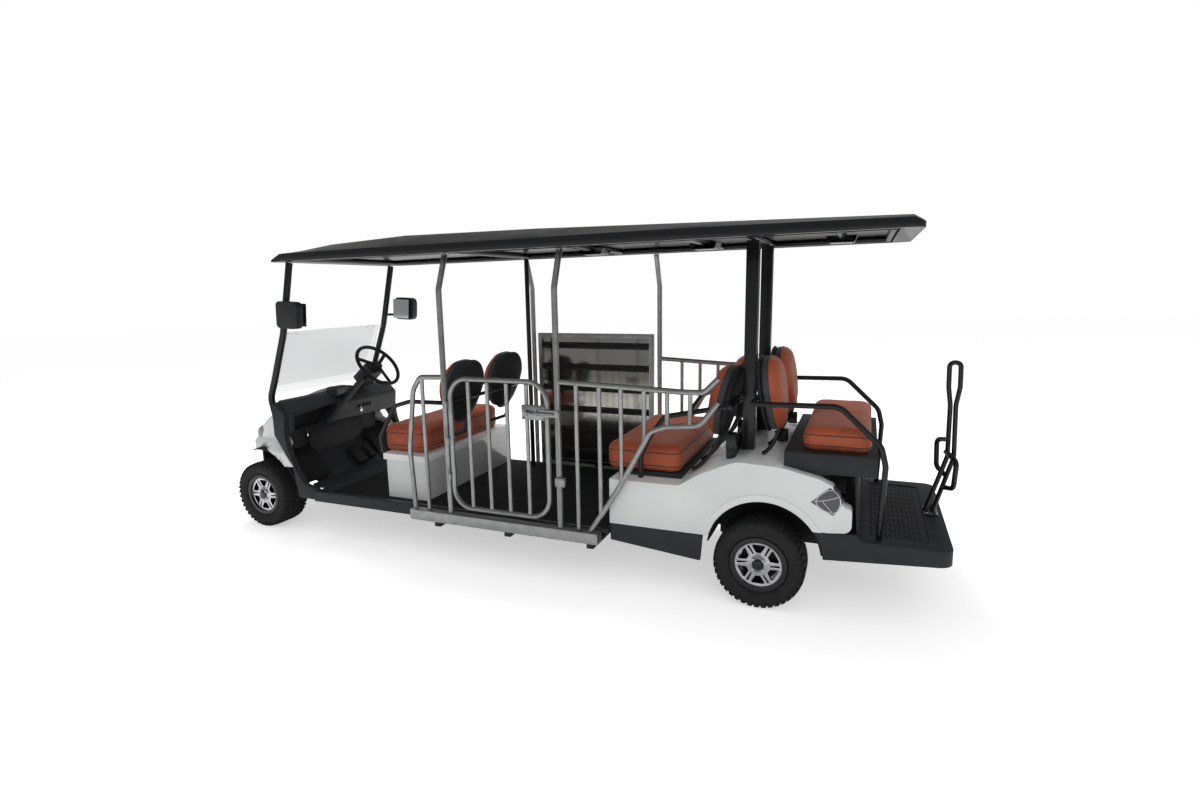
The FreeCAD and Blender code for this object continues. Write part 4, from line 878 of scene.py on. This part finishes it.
@dataclass(frozen=True)
class Rims:
    """Alloy rims: bright machined spokes over black pockets, a dark drum behind, nuts and a cap.

    The spokes are bright between two radii, on faces that look outward and lie near the rim's face.
    """

    face: float = 0.5855
    spoke_start: float = 0.030
    spoke_end: float = 0.122
    spoke_depth: float = 0.045
    lip_start: float = 0.1405
    lip_depth: float = 0.020
    nuts: int = 4
    nut_circle: float = 0.0365

    def build(self) -> None:
        """Finish the four rims and add the drum, the nuts and the cap of each."""
        for end, place in (("front", front(0)), ("rear", rear(0))):
            for side, sign in (("left", 1), ("right", -1)):
                rim = Coachwork().soften(f"rim_{end}_{side}", MACHINED_ALLOY, width=0.0012)
                self.two_tone(rim, place, sign)
                self.fittings(end, side, place, sign)

    def two_tone(self, rim: bpy.types.Object, place: float, sign: int) -> None:
        """Leave the outward faces bright and blacken the pockets and the barrel."""
        def bright(centre: Vector, normal: Vector) -> int:
            """Zero for a bright face, one for a black one."""
            away = math.hypot(centre.y - place, centre.z - WHEEL_RADIUS)
            depth = self.face - abs(centre.x)
            lip = away > self.lip_start and depth < self.lip_depth
            facing = normal.x * sign > 0.86 and depth < self.spoke_depth
            return 0 if lip or facing and self.spoke_start < away < self.spoke_end else 1

        painted(rim, (MACHINED_ALLOY, POCKET_BLACK), bright)

    def fittings(self, end: str, side: str, place: float, sign: int) -> None:
        """The brake drum, the wheel nuts and the hub cap of one wheel."""
        body = f"wheel_{end}_{side}"
        back = drum(f"brake_drum_{end}_{side}", (sign * 0.500, place, WHEEL_RADIUS), 0.1, 0.05, "X", 0.004, 48)
        dressed(back, CHASSIS_PAINT, body)
        nuts = []
        for number in range(self.nuts):
            turn = (number + 0.5) * 2 * math.pi / self.nuts
            nuts.append(drum(f"wheel_nut_{end}_{side}_{number}",
                             (sign * (self.face - 0.006), place + self.nut_circle * math.cos(turn),
                              WHEEL_RADIUS + self.nut_circle * math.sin(turn)), 0.0085, 0.014, "X", 0.002, 6))
        dressed(joined(f"wheel_nuts_{end}_{side}", nuts), CHROME, body)
        cap = drum(f"hub_cap_{end}_{side}", (sign * (self.face - 0.008), place, WHEEL_RADIUS), 0.024, 0.014,
                   "X", 0.003, 32)
        dressed(cap, POCKET_BLACK, body)


@dataclass(frozen=True)
class BucketBacks:
    """Six bucket backs: an egg-shaped orange panel, charcoal side bands with a welt, and a dark shell.

    The rings give depths, the front being negative, and a share of the egg's size at each.
    """

    half_width: float = 0.216
    height: float = 0.432
    side_x: float = 0.262
    points: int = 44
    swell: float = 0.010
    channel_depth: float = 0.004
    channel_width: float = 0.016
    cushion_rings: tuple[tuple[float, float], ...] = (
        (0.026, 0.90), (0.024, 0.985), (0.004, 1.0), (-0.016, 0.985), (-0.036, 0.93), (-0.050, 0.80),
        (-0.056, 0.58), (-0.058, 0.30))
    shell_rings: tuple[tuple[float, float], ...] = (
        (0.026, 1.0), (0.036, 0.985), (0.047, 0.93), (0.054, 0.80), (0.0565, 0.55), (0.0565, 0.25))
    # Foot of each row, its lean in degrees (the top to the rear) and the side that is sat against.
    rows: tuple[tuple[str, float, float, float, int], ...] = (
        ("front", front(1.4556), 0.800, 12.0, -1), ("middle", rear(-0.289), 0.820, 12.0, -1),
        ("aft", rear(0.0392), 0.870, -8.0, 1))

    def outline(self, grow: float = 1.0) -> list[tuple[float, float, float]]:
        """An egg that stands on its narrow end, a little square at the shoulders."""
        middle = self.height / 2
        corners = []
        for number in range(self.points):
            turn = 2 * math.pi * number / self.points
            wide, high = math.cos(turn), math.sin(turn)
            wide = math.copysign(abs(wide) ** 0.86, wide)
            high = math.copysign(abs(high) ** 0.92, high)
            narrow = 1 - 0.30 * max(0.0, 0.25 - high) / 1.25
            corners.append((self.half_width * wide * narrow * grow, 0.0,
                            middle + (middle - 0.003) * high * grow))
        return corners

    def build(self) -> None:
        """Model one back facing the front and set copies in the three rows."""
        panel, shell, seams = self.model()
        for row, foot, base, lean, facing in self.rows:
            for side, x in (("left", self.side_x), ("right", -self.side_x)):
                for source, kind in ((panel, "panel"), (shell, "shell"), (seams, "welts")):
                    piece = copied(source, f"{row}_back_{kind}_{side}")
                    piece.matrix_world = (Matrix.Translation((x, foot, base))
                                          @ Matrix.Rotation(math.radians(-lean), 4, "X")
                                          @ Matrix.Rotation(0 if facing < 0 else math.pi, 4, "Z"))
                    self.finish(piece, kind, hides=row == "front" and side == "left")
        for source in (panel, shell, seams):
            only(source)
            bpy.ops.object.delete()

    def finish(self, piece: bpy.types.Object, kind: str, hides: bool) -> None:
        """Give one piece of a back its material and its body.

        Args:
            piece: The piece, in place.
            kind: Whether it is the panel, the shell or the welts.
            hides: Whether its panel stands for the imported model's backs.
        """
        if kind == "panel":
            numbers = [polygon.material_index for polygon in piece.data.polygons]
            dressed(piece, ORANGE_VINYL, "cart", ["seat_backs"] if hides else [])
            piece.data.materials.append(CHARCOAL_VINYL.material())
            for polygon, number in zip(piece.data.polygons, numbers):
                polygon.material_index = number
        else:
            dressed(piece, GRAINED_PP if kind == "shell" else CHARCOAL_VINYL, "cart")

    def model(self) -> tuple[bpy.types.Object, bpy.types.Object, bpy.types.Object]:
        """The cushion, the shell and the welts of a back that faces forward."""
        centre = (0, 0, self.height * 0.54)
        cushion = lofted("back_cushion", self.outline(0.985), self.cushion_rings, centre)
        inflated(cushion, self.swell)
        channel = self.height * 0.20
        for vertex in cushion.data.vertices:
            if vertex.co.y < -0.020:
                reach = abs(vertex.co.z - channel) / self.channel_width
                vertex.co.y += self.channel_depth * math.exp(-reach * reach)
        for polygon in cushion.data.polygons:
            polygon.material_index = 1 if polygon.center.y > -0.012 else 0
        shell = lofted("back_shell", self.outline(), self.shell_rings, centre)
        fine = shell.modifiers.new("Fine", "SUBSURF")
        fine.levels = 1
        apply_modifiers(shell)
        only(shell)
        bpy.ops.object.shade_smooth_by_angle(angle=math.radians(50))
        front_line = [(x, -0.013, z) for x, _, z in self.outline()]
        rear_line = [(x, 0.020, z) for x, _, z in self.outline()]
        seams = joined("back_welts", [welt("front_welt", cushion, front_line, 0.0028),
                                      welt("rear_welt", cushion, rear_line, 0.0024)])
        return cushion, shell, seams


@dataclass(frozen=True)
class BenchCushions:
    """Three bench cushions: a crowned top, a boxed side and a welt between them."""

    half_width: float = 0.478
    corner: float = 0.06
    shrink: float = 0.010
    swell: float = 0.014
    crown: float = 0.010
    crease: float = 0.006
    crease_width: float = 0.012
    welt_heights: tuple[float, ...] = (0.74, 0.22)
    welt_inset: float = 0.004
    welt_radius: float = 0.0032
    # Front, rear, underside and top of each.
    benches: tuple[tuple[str, float, float, float, float], ...] = (
        ("front", -1.0025, -0.6355, 0.6123, 0.785), ("middle", 0.5825, 1.0525, 0.6403, 0.790),
        ("aft", 1.6475, 2.0125, 0.8283, 0.945))

    def build(self) -> None:
        """Make the three cushions and their welts."""
        for row, low_y, high_y, low_z, high_z in self.benches:
            cushion = self.cushion(row, low_y, high_y, low_z, high_z)
            lines = []
            for share in self.welt_heights:
                height = low_z + (high_z - low_z) * share
                loop = self.loop(low_y + self.welt_inset, high_y - self.welt_inset, height)
                lines.append(welt(f"{row}_welt", cushion, loop, self.welt_radius))
            dressed(joined(f"{row}_cushion_welts", lines), CHARCOAL_VINYL, "cart")

    def loop(self, low_y: float, high_y: float, height: float) -> list[tuple[float, float, float]]:
        """Points round the cushion at one height, with round corners."""
        middle, half = (low_y + high_y) / 2, (high_y - low_y) / 2
        corners = ((1, 1), (-1, 1), (-1, -1), (1, -1))

        def on_arc(number: int, degrees: float) -> tuple[float, float, float]:
            """A point on the arc of one corner."""
            across_sign, along_sign = corners[number % 4]
            angle = math.radians(degrees)
            return (across_sign * (self.half_width - self.corner) + self.corner * math.cos(angle),
                    middle + along_sign * (half - self.corner) + self.corner * math.sin(angle), height)

        points = []
        for number in range(4):
            start = 90 * number
            points += [on_arc(number, start + turn) for turn in range(0, 91, 15)]
            last, goal = points[-1], on_arc(number + 1, start + 90)
            pieces = 3 if number % 2 else 6
            for step in range(1, pieces):
                points.append(tuple(a + (b - a) * step / pieces for a, b in zip(last, goal)))
        return points

    def cushion(self, row: str, low_y: float, high_y: float, low_z: float, high_z: float) -> bpy.types.Object:
        """One cushion, blown up from a slightly smaller block with round corners.

        Args:
            row: The bench's name.
            low_y: Its front.
            high_y: Its rear.
            low_z: Its underside.
            high_z: Its top.

        Returns:
            The cushion, dressed.
        """
        narrower = (self.half_width - self.shrink) / self.half_width
        outline = [(x * narrower, y, low_z + 0.004)
                   for x, y, _ in self.loop(low_y + self.shrink, high_y - self.shrink, low_z)]
        piece = flat_face(f"{row}_cushion", outline)
        edit_all(piece)
        bpy.ops.mesh.extrude_region_move(TRANSFORM_OT_translate={"value": (0, 0, high_z - low_z - 0.020)})
        bpy.ops.mesh.select_all(action="SELECT")
        bpy.ops.mesh.normals_make_consistent(inside=False)
        bpy.ops.object.mode_set(mode="OBJECT")
        rounded(piece, 0.022, 3)
        inflated(piece, self.swell)
        middle, half = (low_y + high_y) / 2, (high_y - low_y) / 2
        for vertex in piece.data.vertices:
            share = max(0.0, (vertex.co.z - low_z) / (high_z - low_z))
            vertex.co.z = max(vertex.co.z, low_z + 0.0005)
            if share > 0.6:
                vertex.co.z -= self.crease * math.exp(-(vertex.co.x / self.crease_width) ** 2)
            vertex.co.y = min(max(vertex.co.y, low_y), high_y)
            vertex.co.x = min(max(vertex.co.x, -self.half_width), self.half_width)
            if share > 0.75:
                edge = max(abs(vertex.co.x) / self.half_width, abs(vertex.co.y - middle) / half)
                vertex.co.z += self.crown * (1 - edge ** 4)
            vertex.co.z = min(vertex.co.z, high_z + 0.006)
        dressed(piece, ORANGE_VINYL, "cart", [f"{row}_seat_cushion"])
        return piece


@dataclass(frozen=True)
class RampFace:
    """The ramp's polished sheet and its black grip strips, seen from inside the cart."""

    face_x: float = -0.6168
    front_edge: float = front(1.624 + 0.030)
    rear_edge: float = front(1.624 + 0.911 - 0.030)
    foot: float = 0.297
    head: float = 1.289
    tread_x: float = -0.6032
    tread_half: float = 0.0135
    strip_half: float = 0.024
    rivet_x: float = -0.6025
    strips: tuple[float, ...] = (0.350, 0.430, 0.590, 0.750, 0.910, 1.070, 1.230)

    def build(self) -> None:
        """Lay the sheet on the ramp's plate and the strips on the sheet and the treads."""
        sheet = block("ramp_polished_sheet", (self.face_x, self.front_edge, self.foot),
                      (self.face_x + 0.0012, self.rear_edge, self.head), 0.0003)
        dressed(sheet, POLISHED_SHEET, "ramp")
        strips = []
        for number, height in enumerate(self.strips[1:]):
            strips.append(block(f"grip_{number}", (self.tread_x, self.front_edge, height - self.tread_half),
                                (self.tread_x + 0.0020, self.rear_edge, height + self.tread_half), 0.0005))
            strips.append(block(f"grip_low_{number}",
                                (self.face_x + 0.0012, self.front_edge, height - self.strip_half),
                                (self.face_x + 0.0024, self.rear_edge, height + self.strip_half), 0.0004))
        dressed(joined("ramp_grip_strips", strips), GRIP_RUBBER, "ramp")
        outer = block("ramp_outer_grip", (-0.6242, self.front_edge + 0.04, self.foot + 0.04),
                      (-0.6228, self.rear_edge - 0.04, self.head - 0.04), 0.0004)
        dressed(outer, GRIP_RUBBER, "ramp")
        rivets = [drum("rivet", (self.rivet_x, place, height), 0.006, 0.004, "X", 0.0012, 12)
                  for height in self.strips for place in (self.front_edge - 0.015, self.rear_edge + 0.015)]
        dressed(joined("ramp_rivets", rivets), BARE_ALUMINIUM, "ramp")


@dataclass(frozen=True)
class DeckTread:
    """Moulded grip: wavy ribs in the rear step's recess and rows of studs on the floor mat."""

    deck_top: float = 0.412
    half_width: float = 0.470
    start: float = rear(0.521)
    end: float = rear(0.782)
    rib_pitch: float = 0.022
    rib_wave: float = 0.015
    rib_steps: int = 24
    floor_top: float = 0.3152
    mat_half_width: float = 0.565
    edging_x: float = 0.571

    def build(self) -> None:
        """Lay the ribs in the recess and the mat on the floor."""
        count = int((self.end - self.start) / self.rib_pitch)
        corners = []
        for number in range(self.rib_steps + 1):
            x = -self.half_width + 2 * self.half_width * number / self.rib_steps
            corners.append((x, self.start + 0.004 + self.rib_wave * (number % 2), self.deck_top))
        rib = tube("tread_rib", corners, 0.0032, straight=True)
        in_rows(rib, count, (0, self.rib_pitch, 0))
        dressed(rib, GRAINED_PP, "cart")
        self.mat()

    def mat(self) -> None:
        """The floor mat with its fine cross ribs and two pale edging strips."""
        low, high = front(0.62), front(2.62)
        sheet = block("floor_mat", (-self.mat_half_width, low, self.floor_top),
                      (self.mat_half_width, high, self.floor_top + 0.002), 0.0006)
        rib = block("mat_rib", (-0.555, low + 0.010, 0.3168), (0.555, low + 0.016, 0.3186), 0.0006)
        in_rows(rib, int((high - low - 0.02) / 0.020), (0, 0.020, 0))
        dressed(joined("floor_mat", [rib, sheet]), MAT_RUBBER, "cart")
        strips = [block("edging", (side * self.edging_x - 0.003, front(0.53), self.floor_top),
                        (side * self.edging_x + 0.003, front(2.60), self.floor_top + 0.0034), 0.0006)
                  for side in (-1, 1)]
        dressed(joined("floor_edging", strips), BARE_ALUMINIUM, "cart")


@dataclass(frozen=True)
class RailFittings:
    """Weld beads, bolts, the gate's latch and hasp, and the clamps on the aluminium tubes."""

    rail_x: float = 0.620
    bead_ring: float = 0.0135
    gate_length: float = 0.640
    gate_top: float = 1.127
    gate_foot: float = 0.366
    gate_bars: tuple[float, ...] = (0.2, 0.4, 0.6, 0.8)
    latch_reach: float = 0.084
    latch_height: float = 0.970
    roof_x: float = 0.548
    # Place behind the front axle and height of each weld along the rails' tops.
    top_welds: tuple[tuple[float, float], ...] = (
        (1.470, 1.136), (2.484, 1.136), (2.619, 1.130), (2.743, 1.127), (2.872, 1.124), (2.997, 1.121),
        (3.118, 1.120))
    foot_welds: tuple[float, ...] = (1.470, 2.484)
    left_struts: tuple[float, ...] = (1.629, 2.370)
    right_struts: tuple[float, ...] = (1.580, 2.580)

    def build(self) -> None:
        """Add the welds of the fixed rail and of the gate, and the latches."""
        beads = [self.bead((self.rail_x, front(place), height), self.bead_ring)
                 for place, height in self.top_welds]
        beads += [self.bead((self.rail_x, front(place), 0.318), 0.0145) for place in self.foot_welds]
        dressed(joined("left_rail_welds", beads), WELD_BEAD, "cart")
        right = [self.bead((-self.rail_x, front(place), height), self.bead_ring)
                 for place, height in self.top_welds[3:]]
        dressed(joined("right_rail_welds", right), WELD_BEAD, "cart")
        start = self.gate_end() - self.gate_length
        gate_beads = [self.bead((self.rail_x, start + self.gate_length * share, height), self.bead_ring)
                      for share in self.gate_bars for height in (self.gate_top, self.gate_foot)]
        dressed(joined("gate_welds", gate_beads), WELD_BEAD, "gate")
        self.latch()
        self.roof_ends()

    def gate_end(self) -> float:
        """Where the gate's frame line ends along the cart, short of its latch plate."""
        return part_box("gate")[1][1] - self.latch_reach

    def bead(self, place: Sequence[float], radius: float) -> bpy.types.Object:
        """One rippled weld round an upright tube."""
        bpy.ops.mesh.primitive_torus_add(major_radius=radius, minor_radius=0.0028, major_segments=20,
                                         minor_segments=6, location=place)
        return bpy.context.object

    def latch(self) -> None:
        """The gate's sliding bolt on its plate, with a U hasp and screws, and a lower latch."""
        end, height = self.gate_end(), self.latch_height
        x = self.rail_x + 0.028
        parts = [drum("latch_bolt", (x + 0.006, end - 0.03, height), 0.008, 0.17, "Y", 0.001, 16),
                 drum("latch_knob", (x + 0.010, end - 0.085, height), 0.006, 0.024, "X", 0.001, 12)]
        for guide in (-0.125, -0.060):
            parts.append(block("latch_guide", (x - 0.003, end + guide, height - 0.015),
                               (x + 0.012, end + guide + 0.015, height + 0.015)))
        for along in (-0.140, -0.010):
            for up in (-0.032, 0.032):
                parts.append(drum("latch_screw", (x - 0.003, end + along, height + up), 0.005, 0.006, "X",
                                  0.001, 10))
        dressed(joined("gate_latch", parts), BRUSHED_PLATE, "gate")
        strut = end + 0.101
        hasp = tube("latch_hasp", [(self.rail_x + reach, strut - 0.012, height + up) for reach, up in
                                   ((0.016, -0.020), (0.042, -0.020), (0.042, 0.020), (0.016, 0.020))],
                    0.004, straight=True)
        catch = block("lower_catch", (self.rail_x + 0.012, strut - 0.050, 0.560),
                      (self.rail_x + 0.032, strut + 0.010, 0.610))
        dressed(joined("strut_hasp", [hasp, catch]), BRUSHED_PLATE, "cart")

    def roof_ends(self) -> None:
        """Flattened tabs and bolts that hold the struts to the roof's edge."""
        tabs = []
        for side, struts in ((1, self.left_struts), (-1, self.right_struts)):
            for place in struts:
                x, y = side * self.roof_x, front(place)
                tabs.append(block("strut_tab", (x - 0.020, y - 0.016, 1.862), (x + 0.020, y + 0.016, 1.867),
                                  0.001))
                tabs.append(drum("strut_bolt", (x, y, 1.8605), 0.007, 0.006, "Z", 0.001, 6))
        dressed(joined("strut_tabs", tabs), BRUSHED_PLATE, "cart")


@dataclass(frozen=True)
class DashFittings:
    """What the driver sees: the display, the switches, the key and the trim screws."""

    face: float = front(0.2935)
    key_x: float = -0.120
    rockers: int = 3
    rocker_start: float = -0.170
    rocker_pitch: float = 0.034
    screw_x: float = 0.557
    screws: tuple[tuple[float, float], ...] = (
        (0.255, 0.800), (0.252, 0.715), (0.262, 0.640), (0.290, 0.555), (0.335, 0.455))

    def build(self) -> None:
        """Add the display, the switches and the trim."""
        screen = block("dash_display", (-0.085, front(0.258), 0.888), (0.070, front(0.2645), 0.936), 0.002)
        dressed(screen, LAMP_GLASS, "cart")
        parts = [drum("key_barrel", (self.key_x, self.face - 0.002, 0.770), 0.011, 0.016, "Y", 0.002, 20)]
        for number in range(self.rockers):
            x = self.rocker_start - self.rocker_pitch * number
            parts.append(block("rocker", (x - 0.011, self.face - 0.008, 0.760),
                               (x + 0.011, self.face + 0.003, 0.782), 0.002))
        dressed(joined("dash_switches", parts), GRIP_RUBBER, "cart")
        screws = [drum("trim_screw", (side * self.screw_x, front(place) + 0.008, height), 0.004, 0.005, "Y",
                       0.001, 10)
                  for side in (1, -1) for place, height in self.screws]
        dressed(joined("trim_screws", screws), CHROME, "cart")
        key = [drum("key_ring", (self.key_x, self.face + 0.010, 0.742), 0.014, 0.002, "Y", 0.0004, 20),
               block("key_blade", (self.key_x - 0.004, self.face + 0.006, 0.742),
                     (self.key_x + 0.004, self.face + 0.009, 0.770), 0.0005)]
        dressed(joined("key", key), CHROME, "cart")


@dataclass(frozen=True)
class Glasses:
    """Mirror glass, the tail lamps' lenses with their chrome, and the roof lamps' lenses.

    Outlines and lines are pairs of a place along the cart and a height. The mirror's places are
    behind the front axle and the tail lamp's are behind the rear axle.
    """

    mirror: tuple[tuple[float, float], ...] = ((0.345, 1.436), (0.492, 1.428), (0.506, 1.578), (0.354, 1.587))
    mirror_x: float = -0.5218
    lamp_x: float = 0.5790
    lamp_thickness: float = 0.0034
    lamp: tuple[tuple[float, float], ...] = (
        (0.246, 0.600), (0.332, 0.682), (0.374, 0.652), (0.388, 0.598), (0.352, 0.542))
    bar: tuple[tuple[float, float], ...] = ((0.262, 0.610), (0.315, 0.612), (0.372, 0.640))
    leg: tuple[tuple[float, float], ...] = ((0.300, 0.611), (0.335, 0.570), (0.352, 0.552))
    roof_lamps: tuple[float, ...] = (2.355, 3.045, 3.780)

    def build(self) -> None:
        """Add the mirror faces, the tail lamps and the roof lamps' lenses."""
        right = plate("mirror_glass_right", [(self.mirror_x, front(y), z) for y, z in self.mirror],
                      (0.0012, 0, 0), 0.0)
        dressed(across(right, "mirror_glass_left"), MIRROR_GLASS, "cart")
        dressed(right, MIRROR_GLASS, "cart")
        for side, sign in (("left", 1), ("right", -1)):
            self.tail_lamp(side, sign)
        for number, place in enumerate(self.roof_lamps):
            under = self.roof_underside(place)
            lens = block(f"roof_lamp_lens_{number}", (-0.056, front(place) - 0.052, under - 0.0015),
                         (0.056, front(place) + 0.052, under + 0.002), 0.001)
            dressed(lens, FROSTED_LENS, "cart")

    def tail_lamp(self, side: str, sign: int) -> None:
        """One lens with its bright rim, bar and leg."""
        lens = plate(f"tail_lamp_lens_{side}", [(sign * self.lamp_x, rear(y), z) for y, z in self.lamp],
                     (sign * self.lamp_thickness, 0, 0))
        dressed(lens, LAMP_GLASS, "cart")
        x = sign * (self.lamp_x + 0.0032)
        bar = tube(f"tail_lamp_bar_{side}", [(x, rear(y), z) for y, z in self.bar], 0.0045)
        leg = tube(f"tail_lamp_leg_{side}", [(x, rear(y), z) for y, z in self.leg], 0.0038)
        ring = tube(f"tail_lamp_ring_{side}", [(x - sign * 0.001, rear(y), z) for y, z in self.lamp], 0.0035,
                    closed=True)
        dressed(joined(f"tail_lamp_chrome_{side}", [leg, ring, bar]), CHROME, "cart")

    def roof_underside(self, place: float) -> float:
        """Height of the roof lamps' faces, which rise with the roof towards the rear."""
        return 1.832 + 0.036 * (place - 0.440) / 3.58


@dataclass(frozen=True)
class SeatHardware:
    """Black brackets and belt reels between the backs and what carries them.

    Stays are lines of a place behind the rear axle and a height. Blocks are corners measured from
    the back's middle across, from the rear axle along, and from the ground.
    """

    middles: tuple[float, ...] = (-0.262, 0.262)
    stay_shift: float = 0.11
    stay_radius: float = 0.011
    aft_stay: tuple[tuple[float, float], ...] = ((-0.020, 0.772), (0.030, 0.800), (0.060, 0.905))
    middle_stay: tuple[tuple[float, float], ...] = ((-0.400, 0.652), (-0.310, 0.690), (-0.245, 0.860))
    blocks: tuple[tuple[str, tuple[float, float, float], tuple[float, float, float]], ...] = (
        ("reel", (-0.205, -0.200, 0.800), (-0.135, -0.145, 0.885)),
        ("reel_far", (0.135, -0.200, 0.800), (0.205, -0.145, 0.885)),
        ("reel_foot", (-0.19, -0.20, 0.748), (0.19, -0.150, 0.802)),
        ("buckle", (-0.225, 0.020, 0.772), (-0.185, 0.075, 0.845)))

    def build(self) -> None:
        """Add brackets under the backs and reels behind the middle bench."""
        parts = []
        for x in self.middles:
            for shift in (-self.stay_shift, self.stay_shift):
                for name, line in (("aft_back_stay", self.aft_stay), ("middle_back_stay", self.middle_stay)):
                    parts.append(tube(name, [(x + shift, rear(y), z) for y, z in line], self.stay_radius))
            for name, low, high in self.blocks:
                parts.append(block(name, (x + low[0], rear(low[1]), low[2]),
                                   (x + high[0], rear(high[1]), high[2]), 0.006))
        dressed(joined("seat_brackets", parts), POWDER_COAT, "cart")


@dataclass(frozen=True)
class HandleBracket:
    """The grey bracket at the grab bar's foot, with its rib and its four bolts."""

    deck_top: float = 0.4262

    def build(self) -> None:
        """Add the bracket with its bolts."""
        base = block("grab_bar_bracket", (-0.080, rear(0.792), self.deck_top), (0.062, rear(0.862), 0.4310),
                     0.001)
        rib = plate("bracket_rib", [(-0.045, rear(y), z) for y, z in
                                    ((0.800, 0.428), (0.845, 0.428), (0.853, 0.505), (0.838, 0.505))],
                    (0.005, 0, 0))
        dressed(joined("grab_bar_bracket", [rib, base]), BRUSHED_PLATE, "cart")
        bolts = [drum("bolt", (x, rear(y), 0.434), 0.008, 0.008, "Z", 0.0012, 6)
                 for x in (-0.066, 0.050) for y in (0.805, 0.850)]
        dressed(joined("grab_bar_bolts", bolts), CHROME, "cart")


def main() -> None:
    """Build every piece in order and report it."""
    logging.basicConfig(level=logging.INFO, format="%(name)s: %(message)s")
    for section in (Camera(), Studio(), Coachwork(), Tyres(), Rims(), BenchCushions(), BucketBacks(),
                    RampFace(), DeckTread(), RailFittings(), DashFittings(), Glasses(), SeatHardware(),
                    HandleBracket()):
        section.build()
        LOG.info("built %s", type(section).__name__)


if __name__ == "__main__":
    main()
